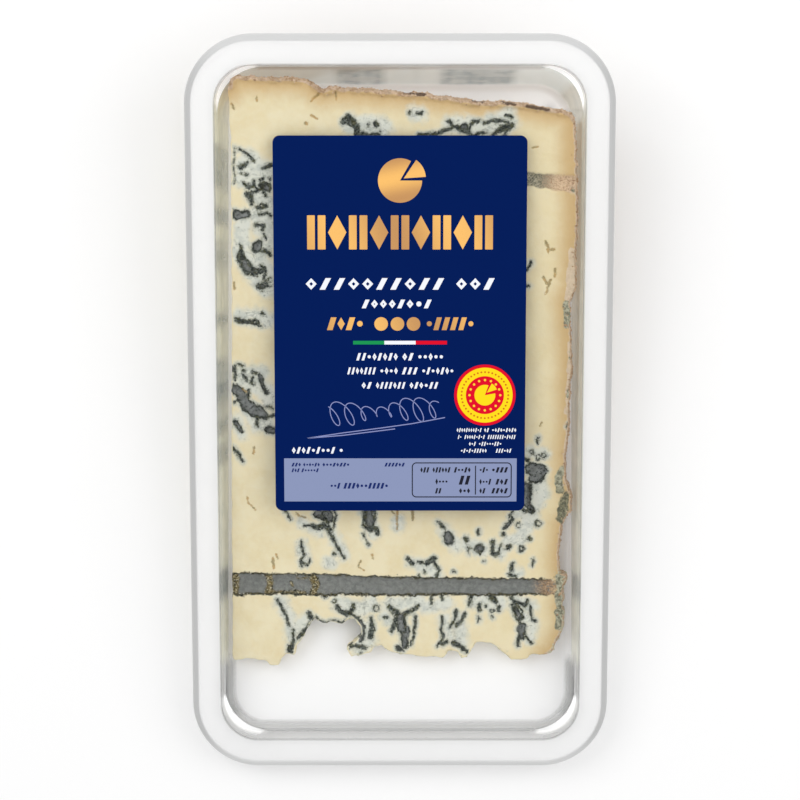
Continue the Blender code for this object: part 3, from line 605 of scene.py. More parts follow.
class LabelSettings(bpy.types.PropertyGroup):
    navy: colour_property("Navy", "Ground of the label", 0, 26, 86)
    gold_dark: colour_property("Dark gold", "Gold in shade", 200, 148, 92)
    gold_light: colour_property("Light gold", "Gold in light", 255, 196, 108)
    panel: colour_property("Panel", "Ground of the lower panel", 139, 150, 186)
    lavender: colour_property("Lavender", "Flourish", 140, 148, 196)
    seal_red: colour_property("Seal red", "Ground of the seal", 226, 0, 38)
    seal_yellow: colour_property("Seal yellow", "Ring of the seal", 255, 221, 20)
    beads: IntProperty(name="Beads", description="Beads in the seal's ring", default=40, min=3)


class PackSettings(bpy.types.PropertyGroup):
    studio: PointerProperty(type=StudioSettings)
    tray: PointerProperty(type=TraySettings)
    cheese: PointerProperty(type=CheeseSettings)
    film: PointerProperty(type=FilmSettings)
    label: PointerProperty(type=LabelSettings)


class Number:
    """A value socket that takes part in sums like a number."""

    def __init__(self, recipe, socket):
        self.recipe = recipe
        self.socket = socket

    def _math(self, operation, *values):
        inputs = dict(enumerate(values))
        return self.recipe.add("ShaderNodeMath", {"operation": operation}, inputs)

    def __add__(self, other):
        return self._math("ADD", self, other)

    __radd__ = __add__

    def __sub__(self, other):
        return self._math("SUBTRACT", self, other)

    def __rsub__(self, other):
        return self._math("SUBTRACT", other, self)

    def __mul__(self, other):
        return self._math("MULTIPLY", self, other)

    __rmul__ = __mul__

    def __truediv__(self, other):
        return self._math("DIVIDE", self, other)

    def __rtruediv__(self, other):
        return self._math("DIVIDE", other, self)

    def __abs__(self):
        return self._math("ABSOLUTE", self)

    def sine(self):
        return self._math("SINE", self)

    def most(self, other):
        return self._math("MAXIMUM", self, other)


class Recipe:
    """The nodes of one material."""

    def __init__(self, name):
        self.material = bpy.data.materials.new(name)
        self.material.use_nodes = True
        self.tree = self.material.node_tree
        self.shader = self.tree.nodes["Principled BSDF"]
        self.place = None

    def add(self, kind, settings=None, inputs=None, output=0):
        """A node of a type: its settings first, then the values and links of its sockets."""
        node = self.tree.nodes.new(kind)
        for name, value in (settings or {}).items():
            setattr(node, name, value)
        for name, value in (inputs or {}).items():
            self.put(node.inputs[name], value)
        return Number(self, node.outputs[output])

    def put(self, socket, value):
        if isinstance(value, Number):
            self.tree.links.new(value.socket, socket)
        else:
            socket.default_value = value

    def set(self, **values):
        for name, value in values.items():
            self.put(self.shader.inputs[name.replace("_", " ").title().replace("Ior", "IOR")], value)

    def object_place(self):
        if self.place is None:
            self.place = self.add("ShaderNodeTexCoord", output="Object")
        return self.place

    def axis(self, name):
        return self.add("ShaderNodeSeparateXYZ", inputs={"Vector": self.object_place()}, output=name)

    def noise(self, size, detail=2.0, roughness=0.5, distortion=0.0):
        """Noise from 0 to 1 whose lumps are about size millimetres wide."""
        return self.add(
            "ShaderNodeTexNoise",
            inputs={
                "Vector": self.object_place(), "Scale": 1.0 / (size * MM), "Detail": detail,
                "Roughness": roughness, "Distortion": distortion,
            },
        )

    def attribute(self, name):
        return self.add("ShaderNodeAttribute", {"attribute_name": name}, output="Fac")

    def band(self, value, start, end):
        """0 at start, 1 at end, smooth between them; start may be the larger."""
        low, high = min(start, end), max(start, end)
        rising = self.add(
            "ShaderNodeMapRange",
            {"interpolation_type": "SMOOTHSTEP"},
            {"Value": value, "From Min": low, "From Max": high},
        )
        return rising if start < end else 1.0 - rising

    def mix(self, share, first, second):
        node = self.tree.nodes.new("ShaderNodeMix")
        node.data_type = "RGBA"
        for index, value in ((0, share), (6, first), (7, second)):
            self.put(node.inputs[index], value)
        return Number(self, node.outputs[2])

    def bump(self, height):
        """A normal from a height in millimetres."""
        return self.add("ShaderNodeBump", inputs={"Height": height, "Distance": MM, "Strength": 1.0})


def lid_z(y):
    return LID_HEIGHT + LID_SLOPE * y


def ledge_z(y):
    return lid_z(y) - LEDGE_DEPTH - LEDGE_DEPTH_SLOPE * y


def on_lid(flat, height):
    """Points above the lid plane, measured along the plane's own normal; height may vary."""
    flat = np.asarray(flat, dtype=float)
    height = np.broadcast_to(height, len(flat))
    return np.column_stack(
        (
            flat[:, 0],
            flat[:, 1] - height * math.sin(LID_ANGLE),
            lid_z(flat[:, 1]) + height * math.cos(LID_ANGLE),
        )
    )


def rounded_rectangle(half_width, half_length, radius, arc_steps=20, short_steps=10, long_steps=24):
    """An outline anticlockwise from the right side, with a fixed count of points for any size."""
    arcs = []
    for turn, (side_x, side_y) in enumerate(((1, 1), (-1, 1), (-1, -1), (1, -1))):
        angles = np.radians(90.0 * (turn + np.arange(arc_steps + 1) / arc_steps))
        x = side_x * (half_width - radius) + radius * np.cos(angles)
        y = side_y * (half_length - radius) + radius * np.sin(angles)
        arcs.append(np.column_stack((x, y)))
    points = []
    for turn, arc in enumerate(arcs):
        points.extend(arc)
        start = arcs[(turn + 1) % 4][0]
        steps = short_steps if turn % 2 == 0 else long_steps
        points.extend(arc[-1] + (start - arc[-1]) * split / steps for split in range(1, steps))
    return np.array(points)


def new_piece(name, points, faces, material, numbers=None, smooth=True):
    """A mesh object from points in millimetres, with named numbers on its points."""
    placed = (np.asarray(points, dtype=float) + (0.0, PACK_SHIFT_Y, 0.0)) * MM
    mesh = bpy.data.meshes.new(name)
    mesh.from_pydata(placed.tolist(), [], faces)
    for key, values in (numbers or {}).items():
        layer = mesh.attributes.new(key, "FLOAT", "POINT")
        layer.data.foreach_set("value", np.asarray(values, dtype=np.float32))
    work = bmesh.new()
    work.from_mesh(mesh)
    bmesh.ops.recalc_face_normals(work, faces=work.faces)
    work.to_mesh(mesh)
    work.free()
    mesh.update()
    if smooth:
        mesh.shade_smooth()
    mesh.materials.append(material)
    made = bpy.data.objects.new(name, mesh)
    bpy.context.scene.collection.objects.link(made)
    return made


def finish_piece(made, node=None):
    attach(made, BODY)
    if node is not None:
        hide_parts(node)


def hashed(i, j, seed):
    value = np.sin(i * 127.1 + j * 311.7 + seed * 74.7) * 43758.5453
    return value - np.floor(value)


def value_noise(x, y, size, seed):
    """Smooth seeded noise between -1 and 1."""
    u, v = x / size, y / size
    i, j = np.floor(u), np.floor(v)
    fu, fv = u - i, v - j
    fu = fu * fu * (3.0 - 2.0 * fu)
    fv = fv * fv * (3.0 - 2.0 * fv)
    low = hashed(i, j, seed) * (1 - fu) + hashed(i + 1, j, seed) * fu
    high = hashed(i, j + 1, seed) * (1 - fu) + hashed(i + 1, j + 1, seed) * fu
    return 2.0 * (low * (1 - fv) + high * fv) - 1.0


def smooth(low, high, value):
    share = np.clip((value - low) / (high - low), 0.0, 1.0)
    return share * share * (3.0 - 2.0 * share)


def stroke_gap(points, strokes, wobble=0.0, seed=50):
    """Distance in millimetres from each point to the nearest stroke's edge, negative inside."""
    x, y = points[:, 0], points[:, 1]
    moved = points + wobble * np.column_stack(
        (
            value_noise(x, y, 1.1, seed) + 0.5 * value_noise(x, y, 0.5, seed + 1),
            value_noise(x, y, 1.1, seed + 2) + 0.5 * value_noise(x, y, 0.5, seed + 3),
        )
    )
    best = np.full(len(points), FAR)
    for first, last, *route in strokes:
        pieces = len(route) - 1
        for index, (start, end) in enumerate(zip(route[:-1], route[1:])):
            start = np.array(start)
            along = np.array(end) - start
            away = moved - start
            share = np.clip(away @ along / max(along @ along, 1e-9), 0.0, 1.0)
            width = first + (last - first) * (index + share) / pieces
            gap = np.linalg.norm(away - share[:, None] * along, axis=1) - width
            best = np.minimum(best, gap)
    return best


def ring_gap(points):
    best = np.full(len(points), FAR)
    for x, y, radius in RINGS:
        away = np.hypot(points[:, 0] - x, points[:, 1] - y)
        wobble = 0.3 * value_noise(points[:, 0], points[:, 1], 0.8, 70)
        width = 0.12 + 0.16 * value_noise(points[:, 0], points[:, 1], 1.0, 72)
        best = np.minimum(best, np.abs(away - radius + wobble) - width)
    return best


def channel_gap(points, channel, rough):
    """Distance to a channel's edge, negative inside, and how far along it each point is."""
    x0, y0, x1, y1, half0, half1, _ = channel
    x, y = points[:, 0], points[:, 1]
    share = (x - x0) / (x1 - x0)
    middle = y0 + (y1 - y0) * share + 0.15 * value_noise(x, 0.0 * x, 7.0, 3)
    half = half0 + (half1 - half0) * share + 0.2 * value_noise(x, 5.0 + 0.0 * x, 3.0, 4)
    half = half + rough * (value_noise(x, y, 0.9, 41) + 0.6 * value_noise(x, y, 0.45, 42))
    gap = np.abs(y - middle) - half
    past_end = np.maximum(x0 - x, x - x1)
    return np.maximum(gap, past_end), share


def polyline_gap(points, outline, which):
    """Distance from each point to the parts of a closed outline that are marked."""
    best = np.full(len(points), FAR)
    following = np.roll(outline, -1, axis=0)
    for start, end, marked in zip(outline, following, which):
        if not marked:
            continue
        along = end - start
        away = points - start
        share = np.clip(away @ along / max(along @ along, 1e-9), 0.0, 1.0)
        best = np.minimum(best, np.linalg.norm(away - share[:, None] * along, axis=1))
    return best


def inside_outline(points, outline):
    found = np.zeros(len(points), dtype=bool)
    x, y = points[:, 0], points[:, 1]
    for (ax, ay), (bx, by) in zip(outline, np.roll(outline, 1, axis=0)):
        if ay != by:
            crosses = (ay > y) != (by > y)
            found ^= crosses & (x < (bx - ax) * (y - ay) / (by - ay) + ax)
    return found


def outline_normals(points):
    """Outward normals of a clockwise outline."""
    along = np.roll(points, -1, axis=0) - np.roll(points, 1, axis=0)
    along /= np.linalg.norm(along, axis=1)[:, None]
    return np.column_stack((-along[:, 1], along[:, 0]))


def cheese_outline(spacing):
    """Points and side names round the cheese, clockwise from the rind's left end."""
    sides = (
        ("side_rind", SIDE_RIND),
        ("face_rind", FACE_RIND),
        ("broken", BROKEN_TIP),
        ("clean", CLEAN_CUT),
    )
    points = []
    names = []
    for index, (name, landmarks) in enumerate(sides):
        run = [*landmarks, sides[(index + 1) % len(sides)][1][0]]
        for start, end in zip(run[:-1], run[1:]):
            start, end = np.array(start), np.array(end)
            steps = max(1, round(np.linalg.norm(end - start) / spacing))
            points.extend(start + (end - start) * step / steps for step in range(steps))
            names.extend([name] * steps)
    points = np.array(points)
    points = 0.5 * points + 0.25 * (np.roll(points, 1, axis=0) + np.roll(points, -1, axis=0))
    rough = np.array([OUTLINE_ROUGHNESS[name] for name in names])
    x, y = points[:, 0], points[:, 1]
    push = value_noise(x, y, 1.7, 11) + 0.5 * value_noise(x, y, 0.8, 12)
    return points + outline_normals(points) * (rough * push)[:, None], names


def dents(points, gaps):
    """How deep the surface is dented at each point."""
    x, y = points[:, 0], points[:, 1]
    lower = LOWER_CHANNEL[6] * np.sqrt(np.clip(-gaps["lower"] / 1.6, 0.0, 1.0))
    lower = lower * smooth(LOWER_CHANNEL[2], 35.0, x)
    upper = UPPER_CHANNEL[6] * np.sqrt(np.clip(-gaps["upper"] / 1.2, 0.0, 1.0)) * gaps["upper_fade"]
    crumbs = 0.5 + 0.5 * value_noise(x, y, 0.7, 61)
    pockets = smooth(0.1, -0.7, gaps["pocket"]) * (0.7 + 0.35 * crumbs)
    veins = smooth(0.2, -0.2, gaps["vein"]) * (0.16 + 0.22 * crumbs)
    cracks = smooth(0.15, -0.1, gaps["crack"]) * 0.2
    lower *= 1.0 - 0.6 * smooth(0.3, -0.4, gaps["bridge"]) * (0.5 + 0.5 * crumbs)
    return np.maximum.reduce([lower, upper, pockets, veins, cracks])


def measure_gaps(points):
    """Distances on the cut face to everything that is drawn on it."""
    lower, _ = channel_gap(points, LOWER_CHANNEL, 0.27)
    upper, upper_share = channel_gap(points, UPPER_CHANNEL, 0.3)
    return {
        "vein": np.minimum(stroke_gap(points, VEINS, 0.26), ring_gap(points)),
        "pocket": stroke_gap(points, POCKETS, 0.3, 80),
        "crack": stroke_gap(points, CRACKS, 0.1, 90),
        "halo": stroke_gap(points, HALOS, 0.5, 95),
        "bridge": stroke_gap(points, BRIDGES, 0.4, 112),
        "side_rind": stroke_gap(points, ((0.0, 0.0, *SIDE_RIND),), 0.3, 116),
        "face_rind": stroke_gap(points, ((0.0, 0.0, *FACE_RIND),), 0.3, 120),
        "lower": lower,
        "upper": upper,
        "upper_fade": smooth(0.0, 0.25, upper_share),
    }


def top_height(points, gaps):
    x, y = points[:, 0], points[:, 1]
    lumps = 0.22 * value_noise(x, y, 9.0, 1) + 0.1 * value_noise(x, y, 3.5, 2)
    curd = 0.05 * value_noise(x, y, 1.3, 31) + 0.025 * value_noise(x, y, 0.6, 32)
    ragged = value_noise(x, y, 1.0, 33) + 0.6 * value_noise(x, y, 0.5, 34)
    crust = smooth(1.6, 1.1, gaps["side_rind"]) * (0.4 + 0.3 * ragged)
    crust = crust + smooth(1.0, 0.5, gaps["face_rind"]) * (0.15 + 0.25 * ragged)
    sunk = 0.3 * smooth(1.2, 1.8, gaps["side_rind"]) * smooth(4.5, 2.0, gaps["side_rind"])
    height = CHEESE_HEIGHT + CHEESE_SLOPE * y + lumps + curd + crust - sunk - dents(points, gaps)
    return np.minimum(height, lid_z(y) - 0.05)


def keep_inside_tray(points):
    """Move points of the cheese inwards until they are clear of the tray's wall."""
    x, y, z = points.T.copy()
    for _ in range(3):
        share = np.clip(z / lid_z(y), 0.0, 1.0)
        radius = np.where(
            z > ledge_z(y) + 0.6, OPENING_RADIUS, BASE_RADIUS + (LEDGE_RADIUS - BASE_RADIUS) * share
        )
        half_x = OPENING_WIDTH / 2 - BASE_INSET_SIDE * (1.0 - share) - 0.35
        half_y = OPENING_LENGTH / 2 - BASE_INSET_END * (1.0 - share) - 0.35
        low = np.clip(z - SHEET, 0.0, BASE_FILLET)
        fillet = BASE_FILLET - np.sqrt(np.maximum(BASE_FILLET**2 - (BASE_FILLET - low) ** 2, 0.0))
        half_x, half_y, radius = half_x - fillet, half_y - fillet, radius - fillet
        qx = np.abs(x) - (half_x - radius)
        qy = np.abs(y) - (half_y - radius)
        distance = np.hypot(np.maximum(qx, 0.0), np.maximum(qy, 0.0))
        distance += np.minimum(np.maximum(qx, qy), 0.0) - radius
        over = np.maximum(distance + WALL_CLEARANCE, 0.0)
        corner = (qx > 0.0) & (qy > 0.0)
        size = np.maximum(np.hypot(qx, qy), 1e-6)
        step_x = np.where(corner, qx / size, np.where(qx > qy, 1.0, 0.0))
        step_y = np.where(corner, qy / size, np.where(qx > qy, 0.0, 1.0))
        x = x - np.sign(x) * step_x * over
        y = y - np.sign(y) * step_y * over
    return np.column_stack((x, y, z))


def filled(outline, inner):
    """Triangles inside an outline, through the inner points."""
    count = len(outline)
    flat = [Vector(point) for point in outline] + [Vector(point) for point in inner]
    edges = [(index, (index + 1) % count) for index in range(count)]
    made, _, triangles, origins, *_ = delaunay_2d_cdt(flat, edges, [], 1, 1e-7, True)
    if len(made) != len(flat):
        raise ValueError("the outline crosses itself")
    back = np.array([origin[0] for origin in origins])
    triangles = np.array(triangles)
    middles = np.array([tuple(point) for point in made])[triangles].mean(axis=1)
    kept = inside_outline(middles, np.asarray(outline))
    return back[triangles[kept]].tolist()


def lattice(outline, spacing):
    """A staggered grid of points inside an outline."""
    low, high = outline.min(axis=0), outline.max(axis=0)
    rows = np.arange(low[1] + spacing / 2, high[1], spacing * 0.87)
    columns = np.arange(low[0], high[0], spacing)
    x, y = np.meshgrid(columns, rows)
    x = x + (np.arange(len(rows)) % 2)[:, None] * spacing / 2
    points = np.column_stack((x.ravel(), y.ravel()))
    return points[inside_outline(points, outline)]


def face_points(outline, spacing, fine):
    """Points over the cut face, closer together where mould, pockets and channels are."""
    found = []
    everywhere = [True] * len(outline)
    for step, wants_fine in ((spacing, False), (fine, True)):
        points = lattice(outline, step)
        gaps = measure_gaps(points)
        edge = np.minimum(np.abs(gaps["vein"]), np.abs(gaps["pocket"]))
        edge = np.minimum(edge, np.minimum(np.abs(gaps["lower"]), np.abs(gaps["crack"])))
        near = (edge < 0.45) | (gaps["side_rind"] < 1.7)
        points = points[near == wants_fine]
        clear = polyline_gap(points, outline, everywhere) > 0.55 * step
        found.append(points[clear])
    return np.vstack(found)


def cheese_numbers(points, gaps, outline, names):
    """What the cheese's material reads at each point."""
    flat = points[:, :2]
    rind = [name in ("side_rind", "face_rind") for name in names]
    side_rind = [name == "side_rind" for name in names]
    rind_gap = polyline_gap(flat, outline, rind)
    crumbs = smooth(0.5, 0.0, np.abs(gaps["lower"])) + 0.7 * smooth(0.35, 0.0, np.abs(gaps["pocket"]))
    crumbs = crumbs + 0.5 * smooth(0.2, -0.2, gaps["vein"])
    broken = polyline_gap(flat, outline, [name == "broken" for name in names])
    spots = stroke_gap(flat, RIND_SPOTS, 0.2, 108)
    flakes = smooth(1.5, 0.9, gaps["side_rind"]) * smooth(0.0, 0.3, spots)
    flakes = flakes + smooth(1.1, 0.6, gaps["face_rind"]) + 0.35 * smooth(0.9, 0.3, broken)
    deepest = {
        "vein": -2.0, "pocket": -3.0, "crack": -1.0, "halo": -3.0,
        "lower": -3.0, "bridge": -2.0, "upper": -3.0,
    }
    numbers = {f"{name}_gap": np.clip(gaps[name], low, GAP_LIMIT) for name, low in deepest.items()}
    numbers["rind_gap"] = rind_gap
    numbers["side_rind_gap"] = polyline_gap(flat, outline, side_rind)
    crust_mould = stroke_gap(flat, CRUST_MOULD, 0.25, 100)
    wide_crust = stroke_gap(flat, WIDE_CRUST, 0.35, 104)
    for name, gap in (("crust_mould", crust_mould), ("wide_crust", wide_crust), ("rind_spot", spots)):
        numbers[f"{name}_gap"] = np.clip(gap, -2.0, GAP_LIMIT)
    numbers["crumbs"] = crumbs
    numbers["flakes"] = flakes
    return numbers


def make_cheese_mesh(settings, material):
    outline, names = cheese_outline(0.55)
    normals = outline_normals(outline)
    edge = np.array([EDGES[name] for name in names])
    inset, drop, bulge, rough = edge.T
    cut = outline - normals * inset[:, None]
    for _ in range(3):
        cut = 0.5 * cut + 0.25 * (np.roll(cut, 1, axis=0) + np.roll(cut, -1, axis=0))
    inner = face_points(cut, settings.spacing / MM, settings.fine_spacing / MM)
    flat = np.vstack((cut, inner))
    height = top_height(flat, measure_gaps(flat))
    placed = keep_inside_tray(np.column_stack((flat, height)))
    placed[:, 2] = top_height(placed[:, :2], measure_gaps(placed[:, :2]))
    faces = filled(cut, inner)

    floor = SHEET + CHEESE_GAP
    count = len(outline)
    top = CHEESE_HEIGHT + CHEESE_SLOPE * outline[:, 1]
    thick = top - floor
    drop = np.minimum(drop, 0.3 * thick)
    x, y = outline.T
    layers = [placed]
    rings = [list(range(count))]
    total = len(placed)
    start_z = placed[:count, 2]
    bend_steps, wall_steps = 4, 12
    for step in range(1, bend_steps + wall_steps + 1):
        if step <= bend_steps:
            angle = math.radians(90.0 * step / bend_steps)
            out = -inset * (1.0 - math.sin(angle))
            z = start_z + (top - drop - start_z) * (1.0 - math.cos(angle))
            rough_share = 0.3 * step / bend_steps
        else:
            share = (step - bend_steps) / wall_steps
            out = bulge * math.sin(math.pi * min(share, 0.8))
            z = (top - drop) + (floor - top + drop) * share
            rough_share = 1.0
        lumps = value_noise(x * 1.3 + 3.1 * z, y * 1.3, 2.3, 21) + 0.5 * value_noise(x + z, y - z, 0.9, 22)
        out = out + rough * rough_share * lumps
        if step == bend_steps + wall_steps:
            z = np.full(count, floor)
        ring = np.column_stack((outline + normals * out[:, None], z))
        layers.append(keep_inside_tray(ring))
        rings.append(list(range(total, total + count)))
        total += count
    for upper, lower in zip(rings[:-1], rings[1:]):
        for j in range(count):
            k = (j + 1) % count
            faces.append((upper[j], upper[k], lower[k], lower[j]))
    bottom = layers[-1][:, :2]
    faces += [tuple(rings[-1][v] for v in triangle) for triangle in filled(bottom, [])]
    points = np.vstack(layers)
    gaps = measure_gaps(points[:, :2])
    numbers = cheese_numbers(points, gaps, outline, names)
    side = np.ones(len(points))
    side[: len(placed)] = 0.0
    numbers["side"] = side
    return new_piece("cheese", points, faces, material, numbers)


def cheese_material(settings):
    r = Recipe("blue_cheese")
    fine = r.noise(0.35, 3.0, 0.6)
    crinkle = r.noise(0.7, 4.0, 0.75)
    medium = r.noise(1.2, 3.0, 0.6)
    broad = r.noise(6.0, 2.0)
    side = r.attribute("side")
    # On the cheese's sides the mould is broken up with depth, so that it doesn't run straight down.
    deep = side * (7.0 * (r.noise(3.6, 3.0, 0.6) - 0.42))
    vein_gap = r.attribute("vein_gap") + 0.6 * (fine - 0.5) + 1.1 * (crinkle - 0.5) + deep
    pocket_gap = r.attribute("pocket_gap") + 0.5 * (fine - 0.5) + 0.9 * (crinkle - 0.5) + deep
    lower_gap = r.attribute("lower_gap") + 0.3 * (fine - 0.5) + 0.9 * (crinkle - 0.5)
    upper_gap = r.attribute("upper_gap") + 0.5 * (medium - 0.5)
    rind_gap = r.attribute("rind_gap") + 0.9 * (medium - 0.5)

    paste = r.mix(r.band(broad, 0.3, 0.7), tuple(settings.cream), tuple(settings.straw))
    paste = r.mix(0.3 * r.band(medium, 0.35, 0.75), paste, linear(234, 227, 200))
    across = r.axis("X") / MM
    along = r.axis("Y") / MM
    paste = r.mix(0.4 * r.band(across, 8.0, 36.0), paste, linear(228, 212, 168))
    paste = r.mix(0.3 * r.band(rind_gap, 9.0, 3.0), paste, linear(218, 200, 156))
    tan_share = r.band(rind_gap + 1.2 * r.band(along, 30.0, -20.0), 6.8, 1.0)
    paste = r.mix(0.9 * tan_share, paste, tuple(settings.tan))
    halo = r.band(r.attribute("halo_gap") + 1.5 * (medium - 0.5) + deep, 1.7, -0.7)
    near_mould = r.band(r.attribute("vein_gap") + deep, 1.4, 0.1)
    near_mould = near_mould.most(r.band(r.attribute("pocket_gap") + deep, 1.5, 0.1))
    halo = halo.most(0.7 * near_mould)
    paste = r.mix(0.9 * halo, paste, tuple(settings.halo))
    veiled = r.band(r.noise(2.4, 3.0, 0.65), 0.46, 0.62)
    paste = r.mix(0.5 * halo * veiled, paste, linear(178, 184, 176))
    freckles = r.band(r.noise(0.9, 4.0, 0.75), 0.57, 0.64)
    paste = r.mix(0.5 * halo * freckles, paste, linear(104, 110, 94))
    wander = r.noise(3.2, 4.0, 0.6, 0.8)
    hair = r.band(abs(wander - 0.5), 0.022, 0.006) * r.band(r.noise(4.0, 1.0), 0.5, 0.58)
    paste = r.mix(0.35 * halo * hair, paste, linear(80, 86, 74))
    shade_near = r.band(vein_gap, 0.75, -0.05).most(r.band(pocket_gap, 0.75, -0.05))
    paste = r.mix(0.55 * shade_near, paste, linear(132, 138, 128))

    floor = r.mix(r.band(medium, 0.3, 0.7), tuple(settings.pocket), linear(104, 108, 104))
    floor = r.mix(0.4 * r.band(fine, 0.45, 0.65), floor, linear(152, 155, 150))
    rim = r.band(abs(pocket_gap + 0.15), 0.42, 0.06)
    dark_spots = r.band(crinkle, 0.52, 0.6)
    colour = r.mix(r.band(pocket_gap, 0.1, -0.15), paste, floor)
    colour = r.mix(0.8 * dark_spots * r.band(pocket_gap, 0.0, -0.15), colour, tuple(settings.mould_dark))
    colour = r.mix(rim * r.band(medium, 0.32, 0.46), colour, linear(50, 56, 48))

    crack = r.band(r.attribute("crack_gap") + 0.4 * (fine - 0.5) + 0.9 * (crinkle - 0.5), 0.26, -0.02)
    crack_coat = r.mix(r.band(medium, 0.4, 0.6), linear(128, 112, 62), linear(178, 138, 70))
    colour = r.mix(0.75 * crack, colour, crack_coat)
    olive = r.band(vein_gap, 0.45, 0.05) * r.band(medium, 0.48, 0.6)
    colour = r.mix(0.6 * olive, colour, linear(112, 112, 70))
    fuzz = r.band(r.noise(0.55, 3.0, 0.7), 0.44, 0.6)
    mould = r.mix(fuzz, tuple(settings.mould_dark), tuple(settings.mould_grey))
    mould = r.mix(0.6 * r.band(r.noise(1.0, 2.0), 0.56, 0.62), mould, linear(84, 84, 50))
    colour = r.mix(r.band(vein_gap, 0.22, -0.1), colour, mould)

    channel_end = r.band(across + 4.0 * (medium - 0.5), 40.6, 38.0)
    in_lower = r.band(lower_gap, 0.05, -0.12) * channel_end
    channel_floor = r.mix(r.band(medium, 0.3, 0.7), linear(112, 115, 111), linear(132, 134, 130))
    channel_floor = r.mix(0.5 * r.band(crinkle, 0.5, 0.6), channel_floor, linear(146, 148, 143))
    channel_floor = r.mix(r.band(lower_gap, -0.6, -0.1), channel_floor, linear(92, 94, 88))
    warm_end = r.band(across + 3.0 * (medium - 0.5), 32.5, 37.0)
    warm = r.mix(r.band(fine, 0.45, 0.6), linear(138, 108, 76), linear(198, 168, 132))
    channel_floor = r.mix(0.9 * warm_end * r.band(crinkle, 0.36, 0.5), channel_floor, warm)
    bridge = r.band(r.attribute("bridge_gap") + 1.2 * (crinkle - 0.5), 0.25, -0.15)
    bridge_coat = r.mix(r.band(crinkle, 0.44, 0.5), linear(46, 44, 32), linear(118, 104, 62))
    bridge_coat = r.mix(r.band(fine, 0.54, 0.6), bridge_coat, linear(196, 188, 158))
    channel_floor = r.mix(bridge, channel_floor, bridge_coat)
    colour = r.mix(in_lower, colour, channel_floor)
    channel_rim = r.band(abs(lower_gap + 0.08), 0.44, 0.1) * r.band(r.noise(1.6, 2.0), 0.3, 0.42)
    rim_coat = r.mix(r.band(fine, 0.5, 0.58), linear(44, 45, 34), linear(104, 98, 68))
    colour = r.mix(channel_rim * channel_end * r.band(across, 38.5, 34.0), colour, rim_coat)

    in_upper = r.band(upper_gap, 0.25, -0.3) * r.band(across, 26.0, 29.0)
    specks = r.noise(0.42, 5.0, 0.85)
    mottled = r.mix(r.band(specks, 0.44, 0.56), linear(62, 66, 54), linear(188, 182, 158))
    mottled = r.mix(r.band(across, 33.5, 38.5), mottled, linear(216, 190, 158))
    red_specks = r.band(across, 32.0, 36.0) * r.band(specks, 0.5, 0.57)
    mottled = r.mix(0.8 * red_specks, mottled, linear(134, 84, 54))
    colour = r.mix(0.9 * in_upper, colour, mottled)

    side_rind_gap = r.attribute("side_rind_gap") + 0.7 * (medium - 0.5)
    crust_share = r.band(side_rind_gap, 1.35, 1.0).most(r.band(rind_gap, 0.75, 0.5))
    crust_share = crust_share.most(r.band(r.attribute("wide_crust_gap") + 0.5 * (medium - 0.5), 0.15, -0.1))
    crust = r.mix(r.band(medium, 0.3, 0.7), tuple(settings.crust_brown), tuple(settings.crust))
    crust = r.mix(0.6 * r.band(fine, 0.5, 0.7), crust, linear(230, 212, 192))
    crust = r.mix(0.5 * r.band(r.noise(2.6, 2.0), 0.55, 0.7), crust, linear(178, 160, 140))
    pale_face = r.band(across, 35.0, 37.0) * r.band(along, 71.0, 68.0) * (1.0 - side)
    crust = r.mix(0.6 * pale_face, crust, linear(222, 206, 178))
    brown_spot = r.band(r.attribute("rind_spot_gap") + 1.6 * (crinkle - 0.5), 0.1, -0.2)
    crust = r.mix(0.9 * brown_spot, crust, linear(72, 52, 36))
    colour = r.mix(crust_share, colour, crust)
    crust_mould = r.band(r.attribute("crust_mould_gap") + 0.7 * (medium - 0.5) + 1.5 * deep, 0.2, -0.2)
    mould_coat = r.mix(r.band(r.noise(0.8, 3.0, 0.7), 0.38, 0.6), linear(112, 112, 92), linear(178, 176, 152))
    mould_coat = r.mix(0.6 * r.band(r.noise(1.4, 2.0), 0.6, 0.68), mould_coat, linear(190, 126, 78))
    olive_chunk = r.band(along, -30.5, -29.0) * r.band(along, -19.0, -22.0)
    olive_coat = r.mix(r.band(crinkle, 0.44, 0.58), linear(66, 66, 48), linear(138, 134, 104))
    mould_coat = r.mix(0.8 * olive_chunk, mould_coat, olive_coat)
    colour = r.mix(crust_mould, colour, mould_coat)

    dark_share = r.band(vein_gap, 0.14, -0.04).most(in_lower)
    rough = 0.5 + 0.25 * dark_share.most(crust_share)
    height = 0.05 * fine + 0.08 * medium + 0.12 * fine * dark_share.most(0.4 * crust_share)
    height = height + 0.1 * side * r.noise(0.8, 3.0, 0.6)
    r.set(Base_Color=colour, Roughness=rough, Normal=r.bump(height))
    r.set(Subsurface_Weight=0.15, Subsurface_Scale=0.0012, Subsurface_Radius=(1.0, 0.8, 0.5))
    r.set(Specular_Ior_Level=0.3)
    return r.material


def crumb_material():
    r = Recipe("cheese_crumbs")
    lumps = r.noise(1.0, 2.0)
    colour = r.mix(r.band(lumps, 0.42, 0.5), linear(70, 74, 64), linear(128, 124, 96))
    colour = r.mix(r.band(r.noise(0.9, 1.0), 0.54, 0.58), colour, linear(216, 212, 194))
    r.set(Base_Color=colour, Roughness=0.55 + 0.3 * lumps, Normal=r.bump(0.04 * r.noise(0.15)))
    return r.material


